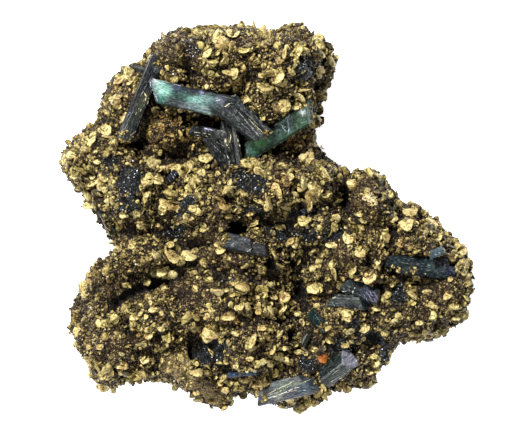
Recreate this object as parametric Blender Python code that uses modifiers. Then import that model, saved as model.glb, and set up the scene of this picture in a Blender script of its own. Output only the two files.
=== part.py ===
"""A vivianite specimen: a lumpy rock matrix crusted with lens-shaped siderite crystals,
with dark and green vivianite blades set in it. It lies on its broken-off flat back.

Units are metres, +Z is up. The main face looks up, +Y is towards the lobe with the large blades,
and the origin is at the middle of the footprint, on the resting face.
Plan positions are read in a reference view of the main face from straight above, in pixels of
that view, and view_point() turns them into real places.
"""

import math
import random
from collections import namedtuple

import bmesh
import bpy
from mathutils import Matrix, Vector, noise
from mathutils.bvhtree import BVHTree
from mathutils.geometry import intersect_point_line

MM = 0.001

# The reference view
PIXEL = 0.225 * MM
REFERENCE_HEIGHT = 25 * MM
EYE_HEIGHT = 600 * MM
VIEW_MIDDLE_PX = (260, 216)
VIEW_MIDDLE = (-1.25 * MM, 0.32 * MM)

# The slab that all the lumps of the rock stand on
SLAB_MIDDLE = 9 * MM
SLAB_HALF = 11 * MM
SLAB_ROUNDING = 8.5 * MM
RIM_INSET = 0.3 * MM

# The surface of the rock
VOXEL = 1.0 * MM
SMOOTHING_ROUNDS = 12
COARSE_RELIEF = 1.9 * MM
COARSE_SCALE = 8.5 * MM
FINE_RELIEF = 0.85 * MM
FINE_SCALE = 3.4 * MM
ROCK_TRIANGLES = 2900

# The cut along a blade's long edges, over its thickness
CHAMFER = 0.15

# Clearance between the rock and each crystal set in it
SOCKET_GAP = 0.32 * MM

# The small lens crystals
LENS_SIDES = 6
LENS_THICKNESS = 0.45
LENS_GROWTH = 1.2
LENS_LIFT = 0.2
SCATTERED_LENSES = 28
SCATTER_SEED = 11

# Plan outline of the rock, clockwise from the top left of the upper lobe, in view pixels
OUTLINE = [
    (151, 62), (149, 49), (157, 38), (172, 37), (183, 35), (195, 26), (209, 20), (224, 23),
    (240, 27), (248, 33), (265, 34), (282, 27), (295, 22), (309, 34), (323, 42), (333, 56),
    (333, 66), (322, 84), (323, 97), (314, 113), (313, 142), (320, 156), (333, 167), (345, 177),
    (366, 168), (384, 181), (397, 201), (408, 211), (421, 210), (435, 221), (447, 234), (463, 247),
    (471, 256), (470, 280), (468, 314), (459, 326), (446, 333), (437, 340), (412, 344), (399, 346),
    (394, 352), (386, 363), (374, 370), (374, 383), (352, 388), (332, 389), (320, 400), (303, 411),
    (284, 404), (268, 396), (246, 390), (233, 394), (226, 409), (210, 402), (190, 394), (170, 386),
    (154, 376), (138, 382), (121, 383), (103, 390), (97, 377), (91, 361), (92, 353), (77, 343),
    (73, 328), (76, 312), (79, 300), (83, 286), (93, 277), (108, 267), (119, 254), (118, 242),
    (106, 228), (95, 214), (84, 200), (79, 187), (70, 178), (63, 162), (70, 149), (78, 136),
    (92, 130), (97, 115), (100, 100), (112, 88), (116, 77), (128, 70), (140, 76),
]

# A rounded lump: plan centre, plan radii and turn in the view, height of its top, vertical radius
Lump = namedtuple("Lump", "x y across along turn top rise")
LUMPS = [
    Lump(228, 60, 70, 28, 4, 37.0, 22),
    Lump(180, 56, 32, 21, 20, 35.5, 18),
    Lump(176, 77, 18, 8, -12, 33.0, 12),
    Lump(214, 84, 20, 9, -12, 33.5, 12),
    Lump(285, 65, 37, 33, -20, 36.5, 20),
    Lump(270, 97, 33, 30, 0, 34.0, 15),
    Lump(300, 112, 17, 30, 0, 28.0, 16),
    Lump(190, 96, 34, 18, 0, 28.0, 12),
    Lump(126, 107, 23, 30, -30, 28.0, 14),
    Lump(139, 102, 9, 36, -22, 27.0, 12),
    Lump(140, 80, 16, 14, 0, 26.5, 14),
    Lump(108, 154, 32, 32, -30, 31.0, 18),
    Lump(84, 166, 20, 22, 0, 26.0, 14),
    Lump(140, 190, 46, 36, -10, 33.5, 18),
    Lump(170, 132, 26, 20, 0, 28.0, 10),
    Lump(212, 206, 52, 38, 0, 36.0, 18),
    Lump(268, 190, 40, 27, -12, 37.5, 17),
    Lump(315, 185, 23, 25, 10, 34.0, 18),
    Lump(250, 248, 52, 30, 0, 33.0, 14),
    Lump(318, 226, 34, 26, 0, 32.5, 14),
    Lump(371, 202, 21, 29, 22, 32.5, 18),
    Lump(417, 242, 34, 25, -38, 28.5, 15),
    Lump(446, 285, 24, 38, 4, 25.0, 15),
    Lump(352, 256, 40, 36, 0, 31.5, 14),
    Lump(392, 310, 58, 30, 12, 26.5, 14),
    Lump(340, 322, 28, 30, 0, 28.5, 14),
    Lump(114, 272, 30, 15, 28, 26.0, 13),
    Lump(150, 256, 30, 22, 0, 28.0, 12),
    Lump(115, 334, 36, 42, 0, 25.0, 15),
    Lump(108, 370, 16, 18, 0, 19.0, 12),
    Lump(168, 312, 44, 30, 10, 30.0, 14),
    Lump(232, 296, 50, 34, 0, 32.5, 14),
    Lump(250, 340, 52, 34, 0, 30.0, 14),
    Lump(192, 368, 36, 22, -25, 25.0, 14),
    Lump(290, 384, 34, 20, -8, 21.5, 13),
    Lump(348, 366, 28, 20, 20, 24.5, 13),
]

# A crevice or pit cut into the lumps: plan centre, plan radii and turn, and depth reached
Pit = namedtuple("Pit", "x y across along turn bottom")
PITS = [
    Pit(136, 292, 30, 4.5, 20, 13),
    Pit(158, 285, 9, 6, 0, 14),
    Pit(290, 262, 6.5, 26, 20, 15),
    Pit(303, 312, 6.5, 26, 8, 13),
    Pit(206, 148, 26, 11, -14, 20),
    Pit(168, 141, 9, 6, 0, 22),
    Pit(312, 158, 20, 7, -20, 21),
    Pit(345, 196, 4.5, 24, 6, 17),
    Pit(241, 230, 9, 7, 0, 20),
    Pit(367, 261, 6, 5, 0, 20),
    Pit(296, 339, 8, 6, -20, 15),
    Pit(222, 280, 10, 5, 30, 22),
    Pit(200, 352, 8, 9, 0, 15),
    Pit(397, 343, 4, 8, 10, 8),
]
PIT_TOP = 44 * MM

# A blade: plan ends and heights, width, thickness and roll, and how far each end face leans off
# square. The first blade of a crystal has its heights over the rock, the others over the first.
Blade = namedtuple("Blade", "start end width thick roll lean_start lean_end")
CRYSTALS = {
    "vivianite_teal_blade": [
        Blade((154.5, 91, 12.0), (232, 108, 8.0), 5.1, 2.2, 16, -28, -20),
        Blade((219, 103, 0.3), (262, 138, -1.2), 3.6, 2.2, 10, 30, -25),
        Blade((230, 98, -0.1), (266, 134, -1.2), 3.0, 2.2, 4, 24, -25),
        Blade((224, 113, -0.3), (254, 137, -1.3), 2.2, 2.0, 14, 24, -25),
    ],
    "vivianite_green_blade": [
        Blade((249, 150, 0.8), (310, 112, 2.4), 4.3, 2.4, 12, 30, -30),
    ],
    "vivianite_dark_cluster": [
        Blade((191, 130, 4.2), (228, 136, 4.2), 2.3, 1.8, 10, 20, 10),
        Blade((209, 138, -0.4), (231, 171, -2.0), 2.7, 2.0, 20, 30, 0),
        Blade((219, 134, -0.9), (230, 171, -2.3), 2.8, 1.8, 10, 30, 0),
        Blade((225, 123, 0.0), (232, 171, -1.4), 2.2, 1.8, -12, 20, 0),
        Blade((232, 126, -0.5), (238, 170, -2.0), 2.5, 2.0, 8, 25, 0),
    ],
    "vivianite_long_dark_blade": [
        Blade((157, 60, -1.5), (123, 143, 0.8), 3.1, 2.3, -18, 25, 22),
    ],
    "vivianite_rim_blade": [
        Blade((130, 67, 3.0), (151, 73, 1.0), 1.3, 1.0, 30, 20, 0),
    ],
    "vivianite_right_blade": [
        Blade((387, 261, -0.2), (450, 264, 0.6), 2.5, 2.0, 10, 20, 25),
        Blade((400, 268, -0.3), (456, 273, -0.2), 2.7, 2.0, 2, 25, 10),
    ],
    "vivianite_right_block": [
        Blade((430, 255, 1.6), (444, 250, 3.4), 1.8, 1.6, 10, 20, 20),
    ],
    "vivianite_centre_blade": [
        Blade((225, 240, 1.4), (253, 247, 0.6), 3.5, 2.0, -10, 18, 20),
        Blade((243, 246, -0.2), (267, 251, -0.5), 2.4, 1.8, -4, 15, 20),
    ],
    "vivianite_lower_right_pair": [
        Blade((331, 301, 3.6), (364, 303, 2.8), 3.0, 2.0, 16, 35, 25),
        Blade((346, 284, 0.2), (379, 298, -0.3), 3.6, 2.2, -14, 20, 15),
    ],
    "vivianite_lower_prism": [
        Blade((324, 378, 2.2), (353, 356, 2.2), 4.1, 3.7, 45, 0, 10),
    ],
    "vivianite_silver_blade": [
        Blade((261, 397, 7.0), (313, 385, 4.0), 3.4, 2.6, 14, 25, 15),
        Blade((272, 388, 0.4), (304, 380, 0.2), 2.4, 2.0, -10, 20, 20),
    ],
    "vivianite_blue_sliver": [
        Blade((228, 375, 1.0), (257, 372, 0.6), 1.1, 0.9, 20, 25, 20),
    ],
    "vivianite_low_stub": [
        Blade((312, 314, 0.6), (324, 327, 1.0), 2.4, 1.8, 0, 20, 20),
    ],
    "vivianite_left_stub": [
        Blade((168, 181, 0.8), (176, 172, 1.4), 1.5, 1.3, 10, 15, 15),
    ],
    "vivianite_upper_stub": [
        Blade((302, 212, 0.7), (314, 207, 1.0), 1.7, 1.5, 20, 25, 20),
    ],
    "vivianite_waist_stub": [
        Blade((103, 212, 1.0), (113, 232, 0.8), 1.9, 1.6, 10, 25, 25),
    ],
    "vivianite_olive_stub": [
        Blade((303, 345, 1.0), (309, 333, 1.4), 1.4, 1.3, 10, 25, 25),
    ],
}

# A lens crystal: plan centre, long radius, short over long radius as seen, turn of the long axis
LENSES = [
    (219, 40, 6, 0.9, 0), (223, 46, 8, 0.8, 20), (207, 53, 6, 0.6, 50), (204, 31, 5, 0.9, 0),
    (233, 34, 7, 0.7, 0), (240, 27, 5, 0.9, 0), (317, 44, 8, 0.7, -30), (298, 50, 7, 0.7, 60),
    (320, 54, 5, 0.7, -70), (331, 61, 6, 0.6, -70), (318, 96, 7, 0.9, 0), (284, 105, 7, 1.0, 0),
    (302, 90, 8, 0.35, -5), (299, 97, 7, 0.5, -30), (268, 90, 7, 0.45, 8), (237, 89, 5, 0.8, -60),
    (268, 73, 7, 0.45, 10), (280, 78, 7, 0.5, 60), (231, 73, 8, 0.4, -10), (211, 62, 6, 0.45, -5),
    (245, 50, 6, 0.7, 20), (286, 53, 6, 0.35, 80), (307, 159, 8, 0.9, 0), (314, 148, 7, 0.6, -45),
    (205, 160, 8, 0.6, 0), (191, 169, 7, 0.35, 80), (193, 186, 8, 0.4, -68), (201, 183, 7, 0.45, -45),
    (229, 191, 7, 0.35, 33), (224, 208, 7, 0.35, -20), (277, 190, 7, 0.8, -60), (268, 203, 7, 0.5, -75),
    (293, 196, 6, 0.8, 0), (312, 197, 9, 0.75, 60), (302, 183, 8, 0.35, -85), (326, 173, 8, 0.5, -60),
    (305, 222, 7, 0.7, 10), (252, 225, 6, 0.5, 40), (191, 256, 9, 0.6, -15), (221, 250, 6, 0.7, 40),
    (251, 166, 8, 0.35, 0), (261, 173, 7, 0.5, -40), (152, 165, 8, 0.85, -80), (163, 170, 5, 0.9, 0),
    (176, 169, 6, 0.8, 0), (182, 176, 6, 0.5, -60), (157, 180, 7, 0.45, -25), (147, 185, 6, 0.5, 20),
    (170, 193, 8, 0.4, -20), (185, 196, 6, 0.5, -20), (167, 205, 8, 0.6, -40), (177, 207, 5, 0.8, 0),
    (104, 176, 6, 0.9, 0), (93, 182, 6, 0.8, 30), (86, 149, 6, 0.5, 10), (92, 141, 7, 0.4, 50),
    (107, 132, 6, 0.8, 40), (66, 160, 6, 0.8, 90), (73, 155, 6, 0.8, 0), (80, 171, 8, 0.5, -30),
    (71, 172, 6, 0.6, -60), (88, 195, 7, 0.5, -60), (90, 204, 7, 0.7, 0), (130, 75, 8, 0.8, -60),
    (119, 82, 6, 0.7, 30), (171, 256, 9, 0.6, -45), (158, 258, 7, 0.5, -60), (172, 275, 6, 0.9, 0),
    (162, 272, 6, 0.8, 0), (86, 286, 6, 0.8, 80), (135, 317, 5, 0.8, 0), (113, 320, 6, 0.5, 45),
    (187, 319, 8, 0.7, 60), (170, 337, 6, 0.5, 85), (149, 335, 5, 0.8, 30), (141, 345, 6, 0.5, 0),
    (210, 334, 9, 0.7, -30), (92, 361, 6, 0.8, 0), (107, 370, 8, 0.5, 55), (104, 386, 6, 0.8, 0),
    (136, 376, 8, 0.6, 40), (77, 331, 6, 0.7, 80), (217, 289, 7, 0.4, -15), (242, 286, 9, 0.45, -20),
    (261, 289, 7, 0.7, 0), (284, 297, 6, 1.0, 0), (282, 308, 7, 0.6, 50), (270, 311, 6, 0.4, -60),
    (259, 308, 6, 0.5, -70), (229, 317, 8, 0.35, 4), (252, 341, 8, 0.4, 70), (261, 362, 6, 0.6, 20),
    (275, 373, 5, 0.7, 80), (259, 383, 7, 0.5, 10), (197, 374, 7, 0.5, -10), (223, 379, 5, 0.5, 60),
    (314, 289, 7, 0.8, 0), (319, 393, 7, 0.6, 60), (310, 402, 6, 0.7, 30), (299, 408, 6, 0.7, 0),
    (348, 238, 6, 1.0, 0), (360, 254, 6, 0.8, 0), (369, 278, 7, 1.0, 0), (354, 270, 5, 0.5, 60),
    (411, 213, 8, 0.6, 10), (430, 223, 7, 0.6, -30), (407, 225, 8, 0.7, 20), (425, 233, 5, 0.5, 75),
    (438, 237, 5, 0.5, 60), (461, 251, 6, 0.8, 0), (467, 268, 6, 0.7, 80), (457, 268, 5, 0.4, -75),
    (412, 296, 6, 0.5, -40), (433, 308, 5, 0.8, 0), (457, 316, 7, 0.7, 0), (464, 317, 5, 0.8, 60),
    (336, 218, 5, 0.8, 0), (369, 174, 6, 0.5, -70), (377, 178, 6, 0.5, -50), (334, 274, 7, 0.35, -70),
    (365, 328, 5, 1.0, 0), (346, 313, 5, 0.8, 0), (442, 331, 6, 0.8, 0), (371, 382, 5, 0.8, 0),
]


def view_point(x, y, height):
    """The real place seen at pixel x, y of the reference view, at a height over the resting face."""
    scale = PIXEL * (EYE_HEIGHT - height) / (EYE_HEIGHT - REFERENCE_HEIGHT)
    return Vector((
        VIEW_MIDDLE[0] + (x - VIEW_MIDDLE_PX[0]) * scale,
        VIEW_MIDDLE[1] + (VIEW_MIDDLE_PX[1] - y) * scale,
        height,
    ))


def clear_scene():
    for obj in list(bpy.data.objects):
        bpy.data.objects.remove(obj, do_unlink=True)


def new_collection(name):
    made = bpy.data.collections.new(name)
    bpy.context.scene.collection.children.link(made)
    return made


def new_object(name, mesh, collection):
    obj = bpy.data.objects.new(name, mesh)
    collection.objects.link(obj)
    return obj


def mesh_from(bm, name):
    mesh = bpy.data.meshes.new(name)
    bmesh.ops.recalc_face_normals(bm, faces=bm.faces)
    bm.to_mesh(mesh)
    bm.free()
    return mesh


def evaluated_mesh(obj):
    """The object's mesh with its modifiers applied."""
    bpy.context.view_layer.update()
    graph = bpy.context.evaluated_depsgraph_get()
    return bpy.data.meshes.new_from_object(obj.evaluated_get(graph))


def apply_modifiers(obj):
    mesh = evaluated_mesh(obj)
    obj.modifiers.clear()
    obj.data = mesh


def boolean(obj, other, operation, joins_itself=False):
    modifier = obj.modifiers.new(operation.lower(), "BOOLEAN")
    modifier.operation = operation
    modifier.solver = "EXACT"
    modifier.use_self = joins_itself
    modifier.object = other
    apply_modifiers(obj)


def helper(name, mesh, collection):
    """A cutter or guide, which isn't part of the specimen."""
    obj = new_object(name, mesh, collection)
    obj.hide_render = True
    obj.display_type = "WIRE"
    return obj


def keep_largest_body(obj):
    """Deletes crumbs that a Boolean or a remesh leaves apart from the main body."""
    bm = bmesh.new()
    bm.from_mesh(obj.data)
    unseen = set(bm.verts)
    bodies = []
    while unseen:
        front = [unseen.pop()]
        body = list(front)
        while front:
            vert = front.pop()
            near = {edge.other_vert(vert) for edge in vert.link_edges}
            fresh = near & unseen
            unseen.difference_update(fresh)
            front.extend(fresh)
            body.extend(fresh)
        bodies.append(body)
    bodies.sort(key=len)
    crumbs = [vert for body in bodies[:-1] for vert in body]
    bmesh.ops.delete(bm, geom=crumbs, context="VERTS")
    bm.to_mesh(obj.data)
    bm.free()


def slab_mesh(collection):
    """The outline as a thick plate with a rounded edge."""
    curve = bpy.data.curves.new("slab_outline", "CURVE")
    curve.dimensions = "2D"
    curve.fill_mode = "BOTH"
    curve.extrude = SLAB_HALF - SLAB_ROUNDING
    curve.bevel_depth = SLAB_ROUNDING
    curve.bevel_resolution = 3
    curve.offset = -(SLAB_ROUNDING + RIM_INSET)
    spline = curve.splines.new("POLY")
    spline.points.add(len(OUTLINE) - 1)
    for point, (x, y) in zip(spline.points, OUTLINE):
        place = view_point(x, y, SLAB_MIDDLE)
        point.co = (place.x, place.y, 0, 1)
    spline.use_cyclic_u = True
    guide = helper("slab_guide", curve, collection)
    guide.location.z = SLAB_MIDDLE
    mesh = evaluated_mesh(guide)
    mesh.transform(guide.matrix_world)
    bpy.data.objects.remove(guide)
    return mesh


def add_ellipsoid(bm, centre, radii, turn):
    """An ellipsoid with its plan turned anticlockwise by turn degrees."""
    size = Matrix.Diagonal((*radii, 1))
    place = Matrix.Translation(centre) @ Matrix.Rotation(math.radians(turn), 4, "Z") @ size
    bmesh.ops.create_icosphere(bm, subdivisions=3, radius=1, matrix=place)


def remesh(obj, voxel):
    modifier = obj.modifiers.new("remesh", "REMESH")
    modifier.mode = "VOXEL"
    modifier.voxel_size = voxel
    modifier.adaptivity = 0
    apply_modifiers(obj)


def lumpy_rock(rock_collection, helpers):
    """The slab and its lumps as one body, with the pits cut out."""
    bm = bmesh.new()
    bm.from_mesh(slab_mesh(helpers))
    bmesh.ops.remove_doubles(bm, verts=bm.verts, dist=0.01 * MM)
    for lump in LUMPS:
        top = lump.top * MM
        rise = lump.rise * MM
        centre = view_point(lump.x, lump.y, top - rise)
        add_ellipsoid(bm, centre, (lump.across * PIXEL, lump.along * PIXEL, rise), lump.turn)
    rock = new_object("matrix", mesh_from(bm, "matrix"), rock_collection)
    remesh(rock, VOXEL)

    bm = bmesh.new()
    for pit in PITS:
        bottom = pit.bottom * MM
        rise = (PIT_TOP - bottom) / 2
        centre = view_point(pit.x, pit.y, bottom + rise)
        add_ellipsoid(bm, centre, (pit.across * PIXEL, pit.along * PIXEL, rise), pit.turn)
    pits = helper("pits", mesh_from(bm, "pits"), helpers)
    boolean(rock, pits, "DIFFERENCE", joins_itself=True)
    remesh(rock, VOXEL)
    modifier = rock.modifiers.new("smooth", "SMOOTH")
    modifier.factor = 0.5
    modifier.iterations = SMOOTHING_ROUNDS
    apply_modifiers(rock)
    return rock


def roughen(obj):
    """Moves the surface in and out by broad and fine noise."""
    for vert, normal in [(v, v.normal.copy()) for v in obj.data.vertices]:
        broad = noise.noise(vert.co / COARSE_SCALE)
        fine = noise.noise(vert.co / FINE_SCALE + Vector((7, 3, 5)))
        vert.co += normal * (broad * COARSE_RELIEF + fine * FINE_RELIEF)


def thin_out(obj, triangles):
    """Joins faces until about that many triangles are left."""
    obj.data.calc_loop_triangles()
    modifier = obj.modifiers.new("decimate", "DECIMATE")
    modifier.ratio = triangles / len(obj.data.loop_triangles)
    modifier.use_collapse_triangulate = True
    apply_modifiers(obj)


def cut_flat_back(obj, helpers):
    """Cuts the body off level, so that it rests on a true flat face."""
    bm = bmesh.new()
    side = 200 * MM
    bmesh.ops.create_cube(bm, size=side, matrix=Matrix.Translation((0, 0, -side / 2)))
    floor = helper("floor_cutter", mesh_from(bm, "floor_cutter"), helpers)
    boolean(obj, floor, "DIFFERENCE")


def surface_of(obj):
    bm = bmesh.new()
    bm.from_mesh(obj.data)
    tree = BVHTree.FromBMesh(bm)
    bm.free()
    return tree


def surface_point(tree, x, y):
    """The place and normal of the rock seen at a pixel of the view, or nearest to it at the rim."""
    height = REFERENCE_HEIGHT
    for _ in range(3):
        above = view_point(x, y, height)
        above.z = EYE_HEIGHT / 2
        place, normal, _, _ = tree.ray_cast(above, Vector((0, 0, -1)))
        if place is None:
            place, normal, _, _ = tree.find_nearest(view_point(x, y, SLAB_MIDDLE))
            return place, normal
        height = place.z
    return place, normal


def add_lens(bm, centre, normal, radius, thickness, spin):
    """A lens crystal: a flat double pyramid with a sharp rim."""
    size = Matrix.Diagonal((radius, radius, thickness, 1))
    turn = normal.to_track_quat("Z", "Y").to_matrix().to_4x4() @ Matrix.Rotation(spin, 4, "Z")
    place = Matrix.Translation(centre) @ turn @ size
    bmesh.ops.create_uvsphere(bm, u_segments=LENS_SIDES, v_segments=2, radius=1, matrix=place)


def lens_normal(flatness, turn):
    """The direction a disc faces when it is seen with that short over long radius."""
    tilt = math.acos(max(0.0, min(1.0, (flatness - LENS_THICKNESS * 0.5) / 0.8)))
    away = math.radians(turn + 90)
    return Vector((math.sin(tilt) * math.cos(away), math.sin(tilt) * math.sin(away), math.cos(tilt)))


def lens_crystals(rock, tree, helpers):
    """The siderite crystals seen in the view, and scattered ones on the sides."""
    bm = bmesh.new()
    rng = random.Random(SCATTER_SEED)
    for x, y, radius, flatness, turn in LENSES:
        place, outward = surface_point(tree, x, y)
        long_radius = radius * PIXEL * LENS_GROWTH
        centre = place + outward * long_radius * (LENS_LIFT + 0.3 * (1 - flatness))
        normal = lens_normal(flatness, turn)
        add_lens(bm, centre, normal, long_radius, long_radius * LENS_THICKNESS, rng.uniform(0, 1))
    faces = [face for face in rock.data.polygons if abs(face.normal.z) < 0.75 and face.center.z > 4 * MM]
    for face in rng.sample(faces, SCATTERED_LENSES):
        radius = rng.uniform(1.1, 1.9) * MM
        lean = Vector([rng.uniform(-1, 1) for _ in range(3)])
        normal = (face.normal + lean).normalized()
        add_lens(bm, face.center, normal, radius, radius * LENS_THICKNESS, rng.uniform(0, 1))
    return helper("lens_crystals", mesh_from(bm, "lens_crystals"), helpers)


def blade_axes(blades, tree):
    """The real ends of each blade of a crystal."""
    first = []
    for x, y, lift in (blades[0].start, blades[0].end):
        ground, _ = surface_point(tree, x, y)
        first.append(view_point(x, y, ground.z + lift * MM))
    axes = [first]
    for blade in blades[1:]:
        axis = []
        for x, y, lift in (blade.start, blade.end):
            near, share = intersect_point_line(view_point(x, y, first[0].z), *first)
            level = first[0].z + min(max(share, 0), 1) * (first[1].z - first[0].z)
            axis.append(view_point(x, y, level + lift * MM))
        axes.append(axis)
    return axes


def add_blade(bm, blade, ends, grow=0.0):
    """A flat blade with chamfered long edges and leaning ends, larger all round by grow."""
    axis = ends[1] - ends[0]
    length = axis.length + 2 * grow
    width = blade.width * MM + 2 * grow
    thick = blade.thick * MM + 2 * grow
    along = axis.normalized()
    across = Vector((0, 0, 1)).cross(along).normalized()
    up = along.cross(across)
    turn = Matrix((along, across, up)).transposed().to_4x4()
    turn = turn @ Matrix.Rotation(math.radians(blade.roll), 4, "X")
    place = Matrix.Translation((ends[0] + ends[1]) / 2) @ turn

    piece = bmesh.new()
    room = width * 2
    size = Matrix.Diagonal((length + room, width, thick, 1))
    bmesh.ops.create_cube(piece, size=1, matrix=size)
    long_edges = [e for e in piece.edges if abs(e.verts[0].co.x - e.verts[1].co.x) > length]
    bmesh.ops.bevel(piece, geom=long_edges, offset=CHAMFER * thick, segments=1, affect="EDGES")
    for side, lean in ((-1, blade.lean_start), (1, blade.lean_end)):
        slope = math.radians(lean)
        normal = Vector((side * math.cos(slope), math.sin(slope), 0.35 * side)).normalized()
        everything = piece.verts[:] + piece.edges[:] + piece.faces[:]
        cut = bmesh.ops.bisect_plane(
            piece, geom=everything, plane_co=(side * length / 2, 0, 0), plane_no=normal,
            clear_outer=True,
        )
        rim = [item for item in cut["geom_cut"] if isinstance(item, bmesh.types.BMEdge)]
        bmesh.ops.edgeloop_fill(piece, edges=rim)
    piece.transform(place)
    mesh = mesh_from(piece, "blade")
    bm.from_mesh(mesh)
    bpy.data.meshes.remove(mesh)


def crystal(name, blades, tree, collection, helpers):
    """One vivianite crystal, or several grown together and joined."""
    obj = None
    for blade, ends in zip(blades, blade_axes(blades, tree)):
        bm = bmesh.new()
        add_blade(bm, blade, ends)
        mesh = mesh_from(bm, name)
        if obj is None:
            obj = new_object(name, mesh, collection)
        else:
            boolean(obj, helper(f"{name}_other", mesh, helpers), "UNION")
    return obj


def socket_cutter(tree, helpers):
    """Every vivianite blade, larger by the gap."""
    bm = bmesh.new()
    for blades in CRYSTALS.values():
        for blade, ends in zip(blades, blade_axes(blades, tree)):
            add_blade(bm, blade, ends, grow=SOCKET_GAP)
    return helper("sockets", mesh_from(bm, "sockets"), helpers)


def finish(name, colour, roughness, metallic=0.0):
    """A plain material, named for what it is."""
    material = bpy.data.materials.new(name)
    material.use_nodes = True
    shader = material.node_tree.nodes["Principled BSDF"]
    shader.inputs["Base Color"].default_value = (*colour, 1)
    shader.inputs["Roughness"].default_value = roughness
    shader.inputs["Metallic"].default_value = metallic
    material.diffuse_color = (*colour, 1)
    return material


def main():
    clear_scene()
    specimen = new_collection("vivianite_specimen")
    helpers = new_collection("helpers")
    helpers.hide_render = True

    rock = lumpy_rock(specimen, helpers)
    roughen(rock)
    keep_largest_body(rock)
    thin_out(rock, ROCK_TRIANGLES)
    tree = surface_of(rock)

    lenses = lens_crystals(rock, tree, helpers)
    boolean(rock, lenses, "UNION", joins_itself=True)
    boolean(rock, socket_cutter(tree, helpers), "DIFFERENCE", joins_itself=True)
    cut_flat_back(rock, helpers)
    keep_largest_body(rock)
    rock.data.materials.clear()
    rock.data.materials.append(finish("siderite_matrix", (0.24, 0.19, 0.10), 0.8))

    dark = finish("vivianite_dark", (0.03, 0.05, 0.06), 0.25)
    clear = {
        "vivianite_teal_blade": finish("vivianite_teal", (0.16, 0.33, 0.30), 0.2),
        "vivianite_green_blade": finish("vivianite_green", (0.05, 0.20, 0.09), 0.15),
    }
    for name, blades in CRYSTALS.items():
        made = crystal(name, blades, tree, specimen, helpers)
        made.data.materials.clear()
        made.data.materials.append(clear.get(name, dark))


main()
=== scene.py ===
"""The looks of the vivianite specimen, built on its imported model.

A fine rock stands for the matrix node. Siderite lenses and small grains grow on it as joined meshes,
and a striated crystal of the same size stands for each vivianite node. Places on the main face are
given in pixels of a reference view of it from straight above.
"""

import math
import random
from collections import namedtuple

import bmesh
import bpy
import numpy as np
from mathutils import Matrix, Vector, noise
from mathutils.bvhtree import BVHTree


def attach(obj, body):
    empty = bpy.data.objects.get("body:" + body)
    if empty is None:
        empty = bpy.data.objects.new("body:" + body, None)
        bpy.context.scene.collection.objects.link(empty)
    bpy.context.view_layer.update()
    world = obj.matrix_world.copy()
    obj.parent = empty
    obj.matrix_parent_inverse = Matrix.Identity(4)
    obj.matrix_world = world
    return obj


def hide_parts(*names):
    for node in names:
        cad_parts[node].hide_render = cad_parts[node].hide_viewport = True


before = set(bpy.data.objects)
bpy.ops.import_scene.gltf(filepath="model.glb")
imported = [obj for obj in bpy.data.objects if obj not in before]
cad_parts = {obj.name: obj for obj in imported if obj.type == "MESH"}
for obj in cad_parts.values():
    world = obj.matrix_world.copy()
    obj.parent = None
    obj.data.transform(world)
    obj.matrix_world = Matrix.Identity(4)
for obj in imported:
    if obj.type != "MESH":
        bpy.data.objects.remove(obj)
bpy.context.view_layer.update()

MM = 0.001

# The reference view, as the model's source has it
PIXEL = 0.225 * MM
REFERENCE_HEIGHT = 25 * MM
EYE_HEIGHT = 600 * MM
VIEW_MIDDLE_PX = (260, 216)
VIEW_MIDDLE = (-1.25 * MM, 0.32 * MM)
VIEW_WIDTH_PX = 520
SENSOR_MM = 36

# Points of the model closer than this are one
WELD = 0.001 * MM

# The fine rock: how fine it is remeshed, the band over the floor that stays flat, and how many rounds
# of smoothing and which depth say what is a hollow
ROCK_VOXEL = 0.6 * MM
FLAT_BACK = 0.5 * MM
HOLLOW_ROUNDS = 40
HOLLOW_DEPTH = 0.55 * MM
# The patches of the main face end below this height on the steep sides
WALL = 13 * MM

# The grains painted on the rock
GRAIN = 0.5 * MM

# The colours laid on the vivianite are raised to this, as its reflections lighten the dark ones
DEEPER = 1.16

# The longest edge left in a fine crystal and in its laths, and how often an edge is halved for it
CRYSTAL_EDGE = 0.7 * MM
LATH_EDGE = 2.2 * MM
MOST_CUTS = 7
# How far a crystal's edges are worn off, and how uneven its faces are
WORN_EDGE = 0.09 * MM
UNEVEN = 0.09 * MM
# How near to the plane of a cut end a point is part of its face
END_DEPTH = 0.13 * MM

# The one seed of every random draw and of the uneven shapes
SEED = 5
# Shapes of each kind of lens, and of grain, to choose from
LENS_SHAPES = 8
GRAIN_SHAPES = 6
# The lenses that stand out, against their size in the model's source
LENS_SCALE = 1.08
# Lenses and grains grow no lower than this
LOWEST_LENS = 1.2 * MM
LOWEST_GRAIN = 0.7 * MM
# Where a lens is looked for when its pixel shows no rock, and how far over a crystal one is left out
LOW_HEIGHT = 9 * MM
OVER_BLADE = 9 * MM
GRAIN_COUNT = 11000
DRUSE_COUNT = 4500
# The shapes of each kind of lens: how many, their sides, rings and thickness, and their greatest bend
LENS_KINDS = {
    "large": ((5, 11, 6, 0.36, 0.2), (3, 11, 6, 0.2, 0.55)),
    "middle": ((5, 10, 4, 0.36, 0.3), (3, 10, 4, 0.2, 0.6)),
    "small": ((4, 8, 4, 0.4, 0.3), (4, 8, 4, 0.22, 0.65)),
    "flake": ((LENS_SHAPES, 8, 2, 0.4, 0.5),),
    "crumb": ((LENS_SHAPES, 6, 2, 0.5, 0.3),),
}
# The lenses scattered over the rock: their kind and count, the least size in mm and how much larger
# they may be, and how dim they are
SCATTERED = {
    "siderite_middle": ("middle", 1700, (0.65, 0.75), 0.75),
    "siderite_small": ("small", 2900, (0.42, 0.4), 0.95),
    "siderite_between": ("flake", 8000, (0.34, 0.3), 1.4),
    "siderite_crumbs": ("crumb", 9000, (0.16, 0.22), 1.6),
}
# What grows over patches: how many to a square pixel, their sizes in mm and their tones
OVERGROWTH = (0.55, (0.22, 0.6), (0, 0.75))
TUFT_GROWTH = (9, (0.1, 0.24), (0.86, 1.0))

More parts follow.
